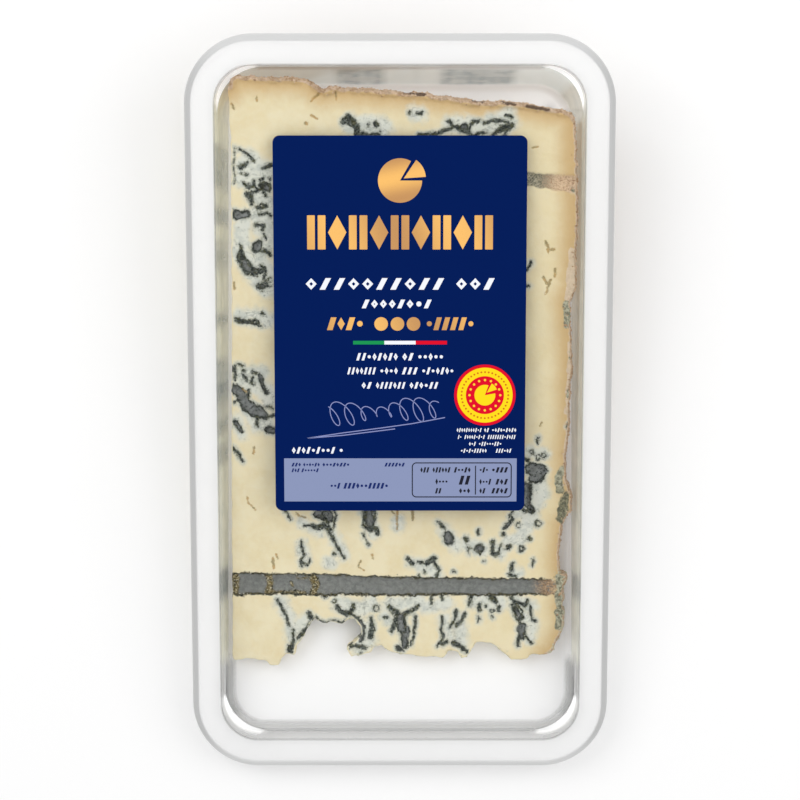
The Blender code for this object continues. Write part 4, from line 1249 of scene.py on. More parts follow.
class GeometryTree:
    """A geometry node tree with named inputs, built from one node method."""

    def __init__(self, name):
        self.tree = bpy.data.node_groups.new(name, "GeometryNodeTree")
        self.tree.interface.new_socket("Geometry", in_out="INPUT", socket_type="NodeSocketGeometry")
        self.tree.interface.new_socket("Geometry", in_out="OUTPUT", socket_type="NodeSocketGeometry")
        self.start = self.tree.nodes.new("NodeGroupInput")
        self.end = self.tree.nodes.new("NodeGroupOutput")
        self.identifiers = {}

    def number(self, name, kind="NodeSocketFloat"):
        socket = self.tree.interface.new_socket(name, in_out="INPUT", socket_type=kind)
        self.identifiers[name] = socket.identifier
        return self.start.outputs[name]

    def add(self, kind, settings=None, inputs=None):
        node = self.tree.nodes.new(kind)
        for name, value in (settings or {}).items():
            setattr(node, name, value)
        for name, value in (inputs or {}).items():
            if isinstance(value, bpy.types.NodeSocket):
                self.tree.links.new(value, node.inputs[name])
            else:
                node.inputs[name].default_value = value
        return node

    def close(self, geometry, material):
        """The last nodes: instances are made real and get their material."""
        real = self.add("GeometryNodeRealizeInstances", inputs={"Geometry": geometry})
        worn = self.add(
            "GeometryNodeSetMaterial", inputs={"Geometry": real.outputs["Geometry"], "Material": material}
        )
        self.tree.links.new(worn.outputs["Geometry"], self.end.inputs[0])

    def grow(self, name, mesh, values, material):
        """A plain mesh object from the tree, run on a mesh with these input values."""
        made = bpy.data.objects.new(name, mesh)
        bpy.context.scene.collection.objects.link(made)
        modifier = made.modifiers.new("grow", "NODES")
        modifier.node_group = self.tree
        for key, value in values.items():
            modifier[self.identifiers[key]] = value
        graph = bpy.context.evaluated_depsgraph_get()
        graph.update()
        grown = bpy.data.meshes.new_from_object(made.evaluated_get(graph))
        made.modifiers.clear()
        made.data = grown
        grown.name = name
        if not grown.polygons:
            raise RuntimeError(f"{name} grew nothing")
        return made


def flake_material(settings):
    r = Recipe("rind_flakes")
    lumps = r.noise(1.3, 2.0)
    colour = r.mix(r.band(lumps, 0.4, 0.6), tuple(settings.crust_brown), tuple(settings.crust))
    colour = r.mix(0.7 * r.band(r.noise(0.8, 1.0), 0.54, 0.66), colour, linear(228, 208, 184))
    colour = r.mix(r.band(r.axis("Y") / MM, -38.0, -42.0), colour, linear(196, 194, 168))
    r.set(Base_Color=colour, Roughness=0.7 + 0.2 * lumps, Normal=r.bump(0.05 * r.noise(0.2)))
    r.set(Specular_Ior_Level=0.2)
    return r.material


def crumb_tree(name, material):
    """Angular crumbs scattered where the mesh's own number of this name is high."""
    tree = GeometryTree(name)
    density = tree.number("Density")
    size = tree.number("Size")
    seed = tree.number("Seed", "NodeSocketInt")
    wanted = tree.add("GeometryNodeInputNamedAttribute", {"data_type": "FLOAT"}, {"Name": name})
    thick = tree.add(
        "ShaderNodeMath", {"operation": "MULTIPLY"}, {0: wanted.outputs["Attribute"], 1: density}
    )
    points = tree.add(
        "GeometryNodeDistributePointsOnFaces",
        inputs={"Mesh": tree.start.outputs["Geometry"], "Density": thick.outputs[0], "Seed": seed},
    )
    crumb = tree.add("GeometryNodeMeshIcoSphere", inputs={"Radius": 1.0, "Subdivisions": 1})
    drawn = ("FunctionNodeRandomValue", {"data_type": "FLOAT_VECTOR"})
    turn = tree.add(*drawn, {0: (0.0, 0.0, 0.0), 1: (6.28, 6.28, 6.28), "Seed": seed})
    shape = tree.add(*drawn, {0: (0.35, 0.35, 0.25), 1: (1.0, 1.0, 0.8), "Seed": 3})
    scale = tree.add("ShaderNodeVectorMath", {"operation": "SCALE"}, {0: shape.outputs[0], "Scale": size})
    placed = tree.add(
        "GeometryNodeInstanceOnPoints",
        inputs={
            "Points": points.outputs["Points"], "Instance": crumb.outputs["Mesh"],
            "Rotation": turn.outputs[0], "Scale": scale.outputs[0],
        },
    )
    tree.close(placed.outputs["Instances"], material)
    return tree


def bead_tree(material):
    """A ring of flat round beads laid on the lid plane."""
    tree = GeometryTree("beads")
    count = tree.number("Count", "NodeSocketInt")
    ring = tree.number("Ring Radius")
    bead = tree.number("Bead Radius")
    thick = tree.number("Bead Height")
    centre = tree.number("Centre", "NodeSocketVector")
    circle = tree.add("GeometryNodeMeshCircle", inputs={"Vertices": count, "Radius": ring})
    disc = tree.add(
        "GeometryNodeMeshCylinder", inputs={"Vertices": 12, "Radius": bead, "Depth": thick}
    )
    placed = tree.add(
        "GeometryNodeInstanceOnPoints",
        inputs={"Points": circle.outputs["Mesh"], "Instance": disc.outputs["Mesh"]},
    )
    laid = tree.add(
        "GeometryNodeTransform",
        inputs={
            "Geometry": placed.outputs["Instances"], "Translation": centre,
            "Rotation": (LID_ANGLE, 0.0, 0.0),
        },
    )
    tree.close(laid.outputs["Geometry"], material)
    return tree


def tray_profile():
    """Rings of the tray's upper face with how much each covers, from the lip's edge to the floor.

    Each ring comes with three numbers: cover seen straight on, cover seen along the surface,
    and how pale it is; grey rings are painted shade, the glint rings a painted highlight.
    """
    outer = FLANGE_WIDTH + LIP_REACH
    shape = {"arc_steps": 20, "short_steps": 50, "long_steps": 120}

    def flange(reach, height):
        flat = rounded_rectangle(
            OPENING_WIDTH / 2 + reach, OPENING_LENGTH / 2 + reach, OPENING_RADIUS + reach, **shape
        )
        return on_lid(flat, height)

    def ledge(reach, extra, radius):
        flat = rounded_rectangle(
            OPENING_WIDTH / 2 + reach, OPENING_LENGTH / 2 + reach, radius, **shape
        )
        return on_lid(flat, -(LEDGE_DEPTH + LEDGE_DEPTH_SLOPE * flat[:, 1]) - extra)

    def base(inset, height):
        flat = rounded_rectangle(
            OPENING_WIDTH / 2 - BASE_INSET_SIDE - inset,
            OPENING_LENGTH / 2 - BASE_INSET_END - inset,
            BASE_RADIUS - inset,
            **shape,
        )
        return np.column_stack((flat, np.full(len(flat), height)))

    def step_down(share):
        return (1.0 - share) * flange(0.0, -0.7) + share * ledge(-0.12, 0.0, OPENING_RADIUS)

    # Painted shade: the grey of the lip and the walls, and the dark line at the opening's edge, stand for
    # refraction in the clear sheet.
    lip = (0.95, 0.97, 0.32)
    clear = (0.62, 0.62, 1.0)
    # The glint look is a painted highlight: opaque white crescents on the ledges' corners.
    painted_glint = (0.95, 0.95, 1.0)
    wall = (0.05, 0.92, 0.5)
    rings = [
        (flange(outer, -LIP_DROP), lip),
        (flange(outer - 0.08, -2.0), lip),
        (flange(outer - 0.15, -1.5), lip),
        (flange(outer - 0.33, -1.0), lip),
        (flange(outer - 0.55, -0.6), lip),
        (flange(outer - 0.8, -0.33), lip),
        (flange(outer - 1.1, -0.15), lip),
        (flange(outer - 1.4, -0.05), lip),
        (flange(outer - 1.62, -0.01), lip),
        (flange(FLANGE_WIDTH - 0.15, 0.0), clear),
        (flange(3.0, 0.0), clear),
        (flange(0.45, 0.0), clear),
        (flange(0.3, -0.03), (0.05, 0.5, 0.9)),
        (flange(0.18, -0.12), (0.60, 0.8, 0.1)),
        (flange(0.06, -0.35), (0.60, 0.9, 0.05)),
        (flange(0.02, -0.5), wall),
        (flange(0.0, -0.7), wall),
        (step_down(0.1), wall),
        (step_down(0.5), painted_glint),
        (step_down(0.9), painted_glint),
        (ledge(-0.12, 0.0, OPENING_RADIUS), painted_glint),
        (ledge(-0.15, 0.05, OPENING_RADIUS + 0.3), painted_glint),
        (ledge(-0.28, 0.2, LEDGE_RADIUS - 0.3), painted_glint),
        (ledge(-0.3, 0.25, LEDGE_RADIUS), wall),
        (ledge(-0.35, 0.7, LEDGE_RADIUS - 0.1), wall),
    ]
    below_ledge = len(rings)
    wall_top = rings[-1][0]
    wall_foot = base(0.0, SHEET + BASE_FILLET)
    for share in (0.05, 0.2, 0.4, 0.6, 0.8, 0.95):
        rings.append((wall_top + (wall_foot - wall_top) * share, wall))
    # Painted shade: the wall's foot and the fillet are dark grey, fading to clear on the floor, in the crease
    # between wall and floor.
    rings.append((wall_foot, (0.9, 0.92, 0.15)))
    for step in range(1, FILLET_STEPS + 1):
        share = step / FILLET_STEPS
        angle = math.radians(90.0 * share)
        ring = base(BASE_FILLET * (1.0 - math.cos(angle)), SHEET + BASE_FILLET * (1.0 - math.sin(angle)))
        rings.append((ring, (0.9 * (1.0 - share**1.6), 0.9 - 0.7 * share, 0.12 + 0.3 * share)))
    rings.append((base(BASE_FILLET + 4.0, SHEET), (0.004, 0.1, 1.0)))
    rings.append((base(BASE_FILLET + 5.5, SHEET), (0.004, 0.1, 1.0)))
    # At the shallow end the ledge lies lower than the wall's foot: from there no ring may rise.
    level = wall_top[:, 2]
    for ring, _ in rings[below_ledge:]:
        ring[:, 2] = np.minimum(ring[:, 2], level)
        level = ring[:, 2]
    return rings


def tray_numbers(points, looks):
    """What the tray's material reads: its cover, its paleness with painted shade and highlight, its painted
    glow, and the cheese painted on its walls as a painted reflection.
    """
    x, y, z = points.T
    pale = looks[:, 2].copy()
    past_x = np.abs(x) - (OPENING_WIDTH / 2 - OPENING_RADIUS)
    past_y = np.abs(y) - (OPENING_LENGTH / 2 - OPENING_RADIUS)
    rim = np.hypot(np.maximum(past_x, 0.0), np.maximum(past_y, 0.0)) - OPENING_RADIUS
    rim = np.maximum(rim, 0.0)
    on_lip = smooth(FLANGE_WIDTH - 0.2, FLANGE_WIDTH + 0.1, rim)
    # The lip is painted paler at the rear and tip ends than along its sides: painted light from the lamps'
    # direction.
    pale += on_lip * (0.2 * smooth(80.0, 90.0, y) + 0.22 * smooth(-80.0, -90.0, y))
    # Painted highlight: rings of the glint look read as clear wall, except their lowest part at the corners,
    # which is painted opaque and white.
    wall_ring = (looks[:, 2] > 0.95) & (z < lid_z(y) - 1.0) & (z > SHEET + 0.1)
    painted_glint = wall_ring & (z < ledge_z(y) + 1.0)
    corner_x = np.abs(x) - (OPENING_WIDTH / 2 - LEDGE_RADIUS)
    corner_y = np.abs(y) - (OPENING_LENGTH / 2 - LEDGE_RADIUS)
    corner = smooth(0.2, 2.0, np.minimum(corner_x, corner_y))
    straight = np.where(wall_ring, 0.05, looks[:, 0])
    straight = np.where(painted_glint, 0.05 + 0.9 * corner, straight)
    pale = np.where(wall_ring, 0.5, pale)
    pale = np.where(painted_glint, 0.5 + 0.5 * corner, pale)
    inside = smooth(0.05, 0.0, rim)
    wall = inside * smooth(SHEET + 0.3, SHEET + BASE_FILLET, z)
    # Painted reflection: past the cheese's tip, the walls beside it take colours that stand for its
    # reflection.
    past_tip = smooth(-66.0, -62.5, y)
    painted_reflection_share = wall * past_tip * np.where(painted_glint, 1.0 - corner, 1.0)
    # The end wall at the tip is painted a little paler: a painted reflection seen along it.
    pale = pale + 0.14 * wall * (1.0 - painted_reflection_share) * smooth(-78.0, -80.0, y) * ~painted_glint
    # The foot at the tip end is painted mid grey: painted shade in the crease.
    foot = inside * smooth(SHEET + BASE_FILLET + 0.3, SHEET + BASE_FILLET - 0.3, z)
    pale = pale + (0.55 - pale) * foot * smooth(-77.0, -79.0, y)
    # Beside the cheese the foot is painted pale and clearer: painted light.
    side_foot = foot * past_tip
    straight = straight * (1.0 - 0.75 * side_foot)
    pale = pale + (0.95 - pale) * side_foot
    # At the rear the foot is painted nearly opaque white and made to glow: painted light that lifts the
    # shaded floor strip under the rind.
    rear_foot = foot * smooth(74.6, 75.6, y)
    straight = straight + (0.85 - straight) * rear_foot
    pale = pale + (1.0 - pale) * rear_foot
    # The mould at the given lines of the cut face is painted on the walls as part of the painted reflection.
    on_end = np.abs(y) > 78.0
    painted_reflection_x = np.where(on_end, x, np.where(x < 0, PAINTED_REFLECTION_LEFT, PAINTED_REFLECTION_RIGHT))
    painted_reflection_y = np.where(on_end, PAINTED_REFLECTION_REAR, y)
    gaps = measure_gaps(np.column_stack((painted_reflection_x, painted_reflection_y)))
    mould = smooth(2.6, -0.6, np.minimum.reduce((gaps["vein"], gaps["pocket"], gaps["lower"])))
    return {
        "straight_cover": straight,
        "slant_cover": looks[:, 1],
        "paleness": np.clip(pale, 0.0, 1.0),
        "lip": on_lip,
        # Painted glow: the corner highlights and the foot at the rear.
        "painted_glow": corner * painted_glint + 0.7 * rear_foot,
        "painted_reflection_share": painted_reflection_share,
        "painted_reflection_mould": mould * painted_reflection_share,
    }


def sheet_normals(grid):
    """Unit normals on the outer side of a sheet given as rings of points."""
    last = len(grid) - 1
    normals = np.zeros_like(grid)
    around = np.roll(grid, -1, axis=1) - np.roll(grid, 1, axis=1)
    for i in range(last + 1):
        total = np.zeros_like(grid[i])
        for along in (grid[i] - grid[max(i - 1, 0)], grid[min(i + 1, last)] - grid[i]):
            if i in (0, last) and not along.any():
                continue
            normal = np.cross(along, around[i])
            size = np.linalg.norm(normal, axis=1)[:, None]
            total += normal / np.maximum(size, 1e-9)
        normals[i] = total / np.linalg.norm(total, axis=1)[:, None]
    return normals


def shell_faces(layers, count):
    """Faces of a sheet: two sets of rings, each closed in its middle, joined at their first rings."""
    faces = []
    other = layers * count
    for start in (0, other):
        last = start + (layers - 1) * count
        for ring in range(start, last, count):
            for j in range(count):
                k = (j + 1) % count
                faces.append((ring + j, ring + k, ring + count + k, ring + count + j))
        faces.append(tuple(range(last, last + count)))
    for j in range(count):
        k = (j + 1) % count
        faces.append((j, k, other + k, other + j))
    return faces


def make_tray_mesh(material):
    """The tray: its upper face, and the same rings one sheet's thickness further out."""
    rings = tray_profile()
    inside = np.array([ring for ring, _ in rings])
    outside = inside + SHEET * sheet_normals(inside)
    outside[-3:] = inside[-3:] * (1.0, 1.0, 0.0)
    layers, count, _ = inside.shape
    looks = np.repeat(np.array([look for _, look in rings]), count, axis=0)
    upper = inside.reshape(-1, 3)
    points = np.vstack((upper, outside.reshape(-1, 3)))
    numbers = tray_numbers(np.vstack((upper, upper)), np.vstack((looks, looks)))
    return new_piece("tray_shell", points, shell_faces(layers, count), material, numbers)


def tray_material(settings):
    r = Recipe("clear_tray")
    facing = r.add("ShaderNodeLayerWeight", inputs={"Blend": 0.5}, output="Facing")
    straight = r.attribute("straight_cover")
    slant = r.attribute("slant_cover")
    pale = r.attribute("paleness")
    painted_reflection_share = r.attribute("painted_reflection_share")
    mould = r.attribute("painted_reflection_mould")
    streaks = r.noise(14.0, 2.0)
    blur = r.noise(5.0, 2.0)
    cover = straight + (slant - straight) * r.band(facing, 0.45, 0.85)
    # Painted reflection of the cheese on the walls: pale paste, near white at the rear, and grey green where
    # its mould is.
    painted_reflection_colour = r.mix(r.band(blur, 0.35, 0.65), linear(222, 219, 205), linear(204, 202, 191))
    rear = r.band(r.axis("Y") / MM, 78.0, 80.0)
    painted_reflection_colour = r.mix(rear, painted_reflection_colour, linear(250, 250, 246))
    painted_reflection_colour = r.mix(mould * (0.6 + 0.35 * r.band(blur, 0.6, 0.4)), painted_reflection_colour, linear(128, 135, 136))
    # Grey to white by paleness: painted shade and painted highlight on the clear sheet.
    colour = r.mix(pale, tuple(settings.shade), tuple(settings.tint))
    r.set(Base_Color=r.mix(painted_reflection_share, colour, painted_reflection_colour))
    # Painted light: the walls beside the cheese, the rear foot and the corner highlights glow, though they
    # are no lamps.
    painted_emission = r.mix(rear, (0.28, 0.32, 0.28, 1.0), (0.25, 0.42, 0.46, 1.0))
    painted_emission = r.mix(painted_reflection_share * (1.0 - 0.5 * mould), (0.0, 0.0, 0.0, 1.0), painted_emission)
    painted_emission = r.mix(r.attribute("painted_glow"), painted_emission, tuple(settings.tint))
    r.set(Emission_Color=painted_emission, Emission_Strength=0.25)
    matt = settings.gloss + 0.3 * r.attribute("lip")
    r.set(Alpha=cover * (0.97 + 0.06 * streaks), Roughness=matt + 0.06 * streaks)
    r.set(Normal=r.bump(0.03 * r.noise(9.0, 1.0)), Ior=1.5)
    return r.material


def film_material(settings):
    r = Recipe("clear_film")
    facing = r.add("ShaderNodeLayerWeight", inputs={"Blend": 0.5}, output="Facing")
    streaks = r.noise(30.0, 2.0, distortion=0.4)
    r.set(Base_Color=r.mix(streaks, tuple(settings.tint), linear(236, 240, 242)))
    r.set(Alpha=0.004 + 0.08 * r.band(facing, 0.5, 0.98), Roughness=settings.gloss + 0.04 * streaks)
    r.set(Normal=r.bump(0.1 * streaks), Ior=1.45)
    return r.material


def plate_faces(count, start):
    """Faces of a plate whose lower outline and then upper outline start at this point."""
    faces = [
        tuple(range(start, start + count)),
        tuple(range(start + count, start + 2 * count)),
    ]
    for j in range(count):
        k = (j + 1) % count
        faces.append((start + j, start + k, start + count + k, start + count + j))
    return faces


def make_film_mesh(material):
    """The film: a thin flat plate, in rings that follow the tray's rim."""
    reaches = (FILM_REACH, FILM_REACH - 0.1, 3.0, 0.3, -1.5, -6.0, -14.0, -24.0, -34.0, -43.0)
    rows = []
    for reach in reaches:
        radius = max(OPENING_RADIUS + reach, 1.2)
        rows.append(rounded_rectangle(OPENING_WIDTH / 2 + reach, OPENING_LENGTH / 2 + reach, radius))
    points = [on_lid(flat, height) for height in (FILM_HIGH, FILM_LOW) for flat in rows]
    faces = shell_faces(len(rows), len(rows[0]))
    return new_piece("film_sheet", np.vstack(points), faces, material, smooth=False)


class Ink:
    """Flat printed shapes of one colour, gathered into one mesh on the label."""

    def __init__(self, low, high):
        self.low = low
        self.high = high
        self.points = []
        self.faces = []

    def shape(self, outline):
        outline = np.asarray(outline, dtype=float)
        self.faces += plate_faces(len(outline), len(self.points))
        self.points.extend(on_lid(outline, self.low))
        self.points.extend(on_lid(outline, self.high))

    def block(self, left, low, right, high, radius=0.15):
        centre = np.array(((left + right) / 2, (low + high) / 2))
        half = ((right - left) / 2, (high - low) / 2)
        radius = min(radius, 0.9 * min(half))
        self.shape(centre + rounded_rectangle(*half, radius, 4, 1, 1))

    def disc(self, x, y, radius, steps=64):
        angles = np.linspace(0.0, 2.0 * math.pi, steps, endpoint=False)
        self.shape(np.column_stack((x + radius * np.cos(angles), y + radius * np.sin(angles))))

    def wedge(self, x, y, radius, start, end, steps=40):
        angles = np.radians(np.linspace(start, end, steps))
        arc = np.column_stack((x + radius * np.cos(angles), y + radius * np.sin(angles)))
        self.shape(np.vstack(((x, y), arc)))

    def ring(self, x, y, inner, outer, steps=72):
        angles = np.linspace(0.0, 2.0 * math.pi, steps, endpoint=False)
        turn = np.column_stack((np.cos(angles), np.sin(angles)))
        self.strip((x, y) + outer * turn, (x, y) + inner * turn, closed=True)

    def line(self, route, width):
        route = np.asarray(route, dtype=float)
        along = np.gradient(route, axis=0)
        along /= np.linalg.norm(along, axis=1)[:, None]
        across = np.column_stack((-along[:, 1], along[:, 0])) * width / 2
        self.strip(route + across, route - across, closed=False)

    def strip(self, left, right, closed):
        count = len(left)
        start = len(self.points)
        for flat, height in ((left, self.low), (right, self.low), (right, self.high), (left, self.high)):
            self.points.extend(on_lid(flat, height))
        corners = [start + layer * count for layer in range(4)]
        for j in range(count if closed else count - 1):
            k = (j + 1) % count
            for a, b in zip(corners, [*corners[1:], corners[0]]):
                self.faces.append((a + j, a + k, b + k, b + j))
        if not closed:
            self.faces.append(tuple(corners))
            self.faces.append(tuple(corner + count - 1 for corner in reversed(corners)))

    def frieze(self, rows, rng, weight=0.27):
        """Rows of small bars, lozenges and dashes that keep the rhythm of a line of print."""
        for left, low, right, high, count in rows:
            pitch = (right - left) / count
            middle = (low + high) / 2
            half = 0.39 * pitch
            stroke = weight * min(pitch, high - low)
            for index in range(count):
                x = left + (index + 0.5) * pitch
                kind = rng.choice(("slant", "slant", "lozenge", "dot"))
                if kind == "slant":
                    lean = 0.55 * half
                    bottom = ((-lean - stroke, low), (-lean + stroke, low))
                    top = ((lean + stroke, high), (lean - stroke, high))
                    self.shape(np.array(bottom + top) + (x, 0.0))
                elif kind == "lozenge":
                    tall = (high - low) / 2
                    outer = np.array(((half, 0.0), (0.0, tall), (-half, 0.0), (0.0, -tall)))
                    inner = outer * (1.0 - 1.3 * stroke / half)
                    self.strip((x, middle) + outer, (x, middle) + inner, closed=True)
                else:
                    self.disc(x, middle, min(0.8 * half, 0.3 * (high - low)), 12)

    def piece(self, name, material):
        made = new_piece(name, self.points, self.faces, material, smooth=False)
        finish_piece(made)
        return made


def ink_material(name, colour, second=None, roughness=0.42):
    """Matt ink with the faint unevenness of print."""
    r = Recipe(name)
    grain = r.noise(0.5, 3.0, 0.6)
    second = second or tuple(0.9 * part for part in colour[:3]) + (1.0,)
    r.set(Base_Color=r.mix(0.3 * grain, colour, second), Roughness=roughness + 0.1 * grain)
    r.set(Normal=r.bump(0.01 * grain), Specular_Ior_Level=0.1)
    return r.material


def gold_material(settings):
    r = Recipe("gold_ink")
    grain = r.noise(0.4, 3.0, 0.6)
    across = r.axis("X") / MM
    along = r.axis("Y") / MM
    sweep = 0.5 + 0.5 * (across * 0.21 + along * 0.07 + 1.9).sine()
    emblem_sweep = 0.5 + 0.5 * (along * 0.62 - across * 0.12 - 33.2).sine()
    light = sweep + (emblem_sweep - sweep) * r.band(along, 48.8, 49.4)
    colour = r.mix(light, tuple(settings.gold_dark), tuple(settings.gold_light))
    r.set(Base_Color=r.mix(0.15 * grain, colour, linear(184, 130, 76)), Metallic=0.15)
    r.set(Roughness=0.38 + 0.1 * grain, Normal=r.bump(0.01 * grain), Specular_Ior_Level=0.3)
    return r.material


def label_material(settings):
    r = Recipe("navy_label")
    grain = r.noise(0.6, 3.0, 0.6)
    r.set(Base_Color=r.mix(0.3 * grain, tuple(settings.navy), linear(1, 30, 94)))
    r.set(Roughness=0.4 + 0.08 * grain, Normal=r.bump(0.012 * grain), Specular_Ior_Level=0.03)
    return r.material


def make_label_mesh(material):
    flat = rounded_rectangle(LABEL_WIDTH / 2, LABEL_LENGTH / 2, LABEL_RADIUS, 10, 2, 2)
    flat = flat + (0.0, LABEL_CENTRE_Y)
    points = np.vstack((on_lid(flat, LABEL_LOW), on_lid(flat, LABEL_HIGH)))
    return new_piece("label_sheet", points, plate_faces(len(flat), 0), material, smooth=False)


def studio_floor_material(settings):
    r = Recipe("studio_floor")
    cloud = r.noise(160.0, 2.0)
    r.set(Base_Color=r.mix(0.15 * cloud, tuple(settings.floor_colour), linear(240, 240, 240)))
    r.set(Roughness=0.8 + 0.1 * cloud, Specular_Ior_Level=0.1)
    return r.material


def soft_light(name, place, target, size, power):
    data = bpy.data.lights.new(name, "AREA")
    data.shape = "RECTANGLE"
    data.size, data.size_y = size
    data.energy = power
    lamp = bpy.data.objects.new(name, data)
    lamp.location = place
    lamp.rotation_euler = (Vector(target) - Vector(place)).to_track_quat("-Z", "Y").to_euler()
    bpy.context.scene.collection.objects.link(lamp)


class CHEESEPACK_OT_studio(bpy.types.Operator):
    """Make the floor, the lights and the camera"""

    bl_idname = "cheese_pack.make_studio"
    bl_label = "Studio"

    def execute(self, context):
        settings = context.scene.cheese_pack.studio
        half = settings.floor_size / 2
        level = -0.0002
        mesh = bpy.data.meshes.new("studio_floor")
        corners = [(-half, -half, level), (half, -half, level), (half, half, level), (-half, half, level)]
        mesh.from_pydata(corners, [], [(0, 1, 2, 3)])
        mesh.materials.append(studio_floor_material(settings))
        floor = bpy.data.objects.new("studio_floor", mesh)
        context.scene.collection.objects.link(floor)

        world = bpy.data.worlds.new("studio")
        world.use_nodes = True
        backdrop = world.node_tree.nodes["Background"]
        backdrop.inputs["Color"].default_value = (1.0, 1.0, 1.0, 1.0)
        backdrop.inputs["Strength"].default_value = settings.sky
        context.scene.world = world
        soft_light("key_light", (-0.45, 0.35, 0.6), (0.0, 0.02, 0.0), (0.5, 0.5), settings.key_power)
        soft_light("fill_light", (0.5, 0.1, 0.5), (0.0, 0.0, 0.0), (0.5, 0.5), settings.fill_power)

        data = bpy.data.cameras.new("camera")
        data.lens = settings.lens
        data.sensor_width = 36.0
        data.shift_y = settings.shift
        camera = bpy.data.objects.new("camera", data)
        camera.location = (0.0, settings.camera_y, settings.camera_height)
        context.scene.collection.objects.link(camera)
        context.scene.camera = camera
        context.scene.view_settings.view_transform = "Standard"
        context.scene.cycles.use_denoising = True
        context.scene.cycles.transparent_max_bounces = 24
        return {"FINISHED"}


class CHEESEPACK_OT_tray(bpy.types.Operator):
    """Make the clear tray"""

    bl_idname = "cheese_pack.make_tray"
    bl_label = "Tray"

    def execute(self, context):
        made = make_tray_mesh(tray_material(context.scene.cheese_pack.tray))
        finish_piece(made, "tray")
        return {"FINISHED"}


class CHEESEPACK_OT_cheese(bpy.types.Operator):
    """Make the cheese and the crumbs on it"""

    bl_idname = "cheese_pack.make_cheese"
    bl_label = "Cheese"

    def execute(self, context):
        settings = context.scene.cheese_pack.cheese
        made = make_cheese_mesh(settings, cheese_material(settings))
        crumb = crumb_material()
        values = {
            "Density": settings.crumb_density * PER_SQUARE_CENTIMETRE,
            "Size": settings.crumb_size,
            "Seed": settings.crumb_seed,
        }
        crumbs = crumb_tree("crumbs", crumb).grow("cheese_crumbs", made.data.copy(), values, crumb)
        flake = flake_material(settings)
        values = {
            "Density": settings.flake_density * PER_SQUARE_CENTIMETRE,
            "Size": settings.flake_size,
            "Seed": 8,
        }
        flakes = crumb_tree("flakes", flake).grow("rind_flakes", made.data.copy(), values, flake)
        finish_piece(made, "cheese_wedge")
        finish_piece(crumbs)
        finish_piece(flakes)
        return {"FINISHED"}


class CHEESEPACK_OT_film(bpy.types.Operator):
    """Make the clear lid film"""

    bl_idname = "cheese_pack.make_film"
    bl_label = "Film"

    def execute(self, context):
        made = make_film_mesh(film_material(context.scene.cheese_pack.film))
        finish_piece(made, "lid_film")
        return {"FINISHED"}


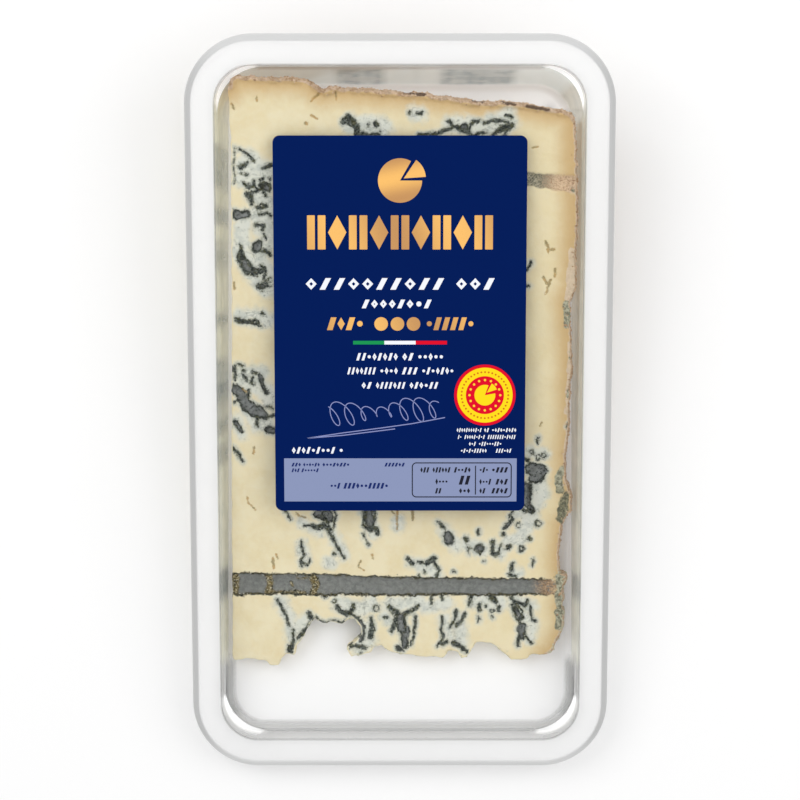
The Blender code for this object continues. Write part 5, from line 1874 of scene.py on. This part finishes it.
class CHEESEPACK_OT_label(bpy.types.Operator):
    """Make the label and its print"""

    bl_idname = "cheese_pack.make_label"
    bl_label = "Label"

    def execute(self, context):
        settings = context.scene.cheese_pack.label
        sheet = make_label_mesh(label_material(settings))
        finish_piece(sheet, "label")
        rng = random.Random(4)
        low = LABEL_HIGH - INK_SINK
        first, second = low + INK_HEIGHT, low + 2 * INK_HEIGHT

        gold = Ink(low, first)
        x, y, radius = EMBLEM
        gold.wedge(x, y, radius, 60.0, 360.0, 72)
        gold.wedge(x + 0.9, y + 0.5, radius, 4.0, 56.0, 24)
        left, bottom, right, top = WORD_BAND
        middle = (bottom + top) / 2
        pitch = (right - left) / 9
        for index in range(9):
            start = left + index * pitch + 0.3
            end = start + pitch - 0.6
            centre = (start + end) / 2
            if index % 2:
                gold.shape(((centre, bottom), (end, middle), (centre, top), (start, middle)))
            else:
                gold.block(start, bottom, centre - 0.35, top)
                gold.block(centre + 0.35, bottom, end, top)
        for place in GRADE_DOTS:
            gold.disc(place + GRADE_DOT[1] / 2, GRADE_DOT[0], GRADE_DOT[1])
        gold.frieze(GOLD_ROWS, rng, 0.3)
        gold.piece("label_gold", gold_material(settings))

        white = Ink(low, first)
        white.frieze(WHITE_ROWS, rng, 0.24)
        left, bottom, right, top = FLAG_BAR
        third_width = (right - left) / 3
        white.block(left + third_width, bottom, left + 2 * third_width, top, 0.02)
        white.piece("label_white", ink_material("white_ink", linear(244, 246, 252)))
        green = Ink(low, first)
        green.block(left, bottom, left + third_width, top, 0.02)
        green.piece("label_green", ink_material("green_ink", linear(20, 148, 80)))

        x, y, radius = SEAL
        red = Ink(low, first)
        red.block(left + 2 * third_width, bottom, right, top, 0.02)
        red.disc(x, y, radius, 96)
        red.piece("label_red", ink_material("red_ink", tuple(settings.seal_red)))
        yellow = Ink(first - INK_SINK, second)
        yellow.ring(x, y, 0.62 * radius, 0.9 * radius)
        yellow.wedge(x, y, 0.34 * radius, 70.0, 370.0)
        yellow.wedge(x + 0.45, y + 0.6, 0.34 * radius, 18.0, 62.0, 12)
        yellow.piece("label_yellow", ink_material("yellow_ink", tuple(settings.seal_yellow)))
        bead_ink = ink_material("bead_ink", linear(214, 120, 20))
        centre = on_lid([(x, y)], second)[0] + (0.0, PACK_SHIFT_Y, 0.0)
        values = {
            "Count": settings.beads, "Ring Radius": 0.76 * radius * MM, "Bead Radius": 0.24 * MM,
            "Bead Height": INK_HEIGHT * MM, "Centre": tuple(centre * MM),
        }
        beads = bead_tree(bead_ink).grow("label_seal_beads", bpy.data.meshes.new("beads"), values, bead_ink)
        finish_piece(beads)
        inner_ink = ink_material("seal_dot_ink", linear(255, 214, 60))
        values.update({"Count": 16, "Ring Radius": 0.5 * radius * MM, "Bead Radius": 0.3 * MM})
        dots = bead_tree(inner_ink).grow("label_seal_dots", bpy.data.meshes.new("dots"), values, inner_ink)
        finish_piece(dots)

        flourish = Ink(low, first)
        turns = np.linspace(0.0, 2.0 * math.pi * 8.0, 400)
        swell = 0.75 + 0.35 * np.sin(turns / 8.0 * 1.5 + 0.4)
        loops = np.column_stack(
            (
                -17.5 + 27.0 * turns / turns[-1] + 1.9 * swell * np.sin(turns),
                -0.9 + 1.6 * turns / turns[-1] + 2.7 * swell * np.cos(turns + 0.6),
            )
        )
        flourish.line(loops, 0.22)
        for route in UNDERLINES:
            flourish.line(route, 0.24)
        flourish.piece("label_flourish", ink_material("lavender_ink", tuple(settings.lavender)))

        panel = Ink(low, first)
        panel.block(*PANEL, 0.05)
        panel.piece("label_panel", ink_material("panel_ink", tuple(settings.panel)))
        navy = Ink(first - INK_SINK, second)
        navy.frieze(NAVY_ROWS, rng)
        navy.piece("label_panel_rows", ink_material("navy_ink", linear(20, 40, 104)))
        black = Ink(first - INK_SINK, second)
        black.frieze(BLACK_ROWS, rng)
        left, bottom, right, top = FACTS_BOX
        frame_line = rounded_rectangle((right - left) / 2, (top - bottom) / 2, 1.1, 8, 1, 1)
        frame_line = frame_line + ((left + right) / 2, (bottom + top) / 2)
        inner_line = rounded_rectangle((right - left) / 2 - 0.24, (top - bottom) / 2 - 0.24, 0.86, 8, 1, 1)
        inner_line = inner_line + ((left + right) / 2, (bottom + top) / 2)
        black.strip(frame_line, inner_line, closed=True)
        black.block(FACTS_DIVIDER, bottom + 0.7, FACTS_DIVIDER + 0.24, top - 0.8, 0.05)
        black.piece("label_facts_rows", ink_material("black_ink", linear(28, 30, 44)))
        return {"FINISHED"}


class CHEESEPACK_PT_panel(bpy.types.Panel):
    """Lists the pieces of the pack"""

    bl_label = "Cheese Pack"
    bl_idname = "CHEESEPACK_PT_panel"
    bl_space_type = "VIEW_3D"
    bl_region_type = "UI"
    bl_category = "Cheese Pack"

    def draw(self, context):
        settings = context.scene.cheese_pack
        groups = (
            (CHEESEPACK_OT_studio, settings.studio),
            (CHEESEPACK_OT_tray, settings.tray),
            (CHEESEPACK_OT_cheese, settings.cheese),
            (CHEESEPACK_OT_film, settings.film),
            (CHEESEPACK_OT_label, settings.label),
        )
        for operator, group in groups:
            box = self.layout.box()
            box.operator(operator.bl_idname)
            for name in group.__annotations__:
                box.prop(group, name)


CLASSES = (
    StudioSettings,
    TraySettings,
    CheeseSettings,
    FilmSettings,
    LabelSettings,
    PackSettings,
    CHEESEPACK_OT_studio,
    CHEESEPACK_OT_tray,
    CHEESEPACK_OT_cheese,
    CHEESEPACK_OT_film,
    CHEESEPACK_OT_label,
    CHEESEPACK_PT_panel,
)


def register():
    for made in CLASSES:
        bpy.utils.register_class(made)
    bpy.types.Scene.cheese_pack = PointerProperty(type=PackSettings)


def unregister():
    del bpy.types.Scene.cheese_pack
    for made in reversed(CLASSES):
        bpy.utils.unregister_class(made)


def main():
    register()
    bpy.ops.cheese_pack.make_studio()
    bpy.ops.cheese_pack.make_tray()
    bpy.ops.cheese_pack.make_cheese()
    bpy.ops.cheese_pack.make_film()
    bpy.ops.cheese_pack.make_label()


if __name__ == "__main__":
    main()
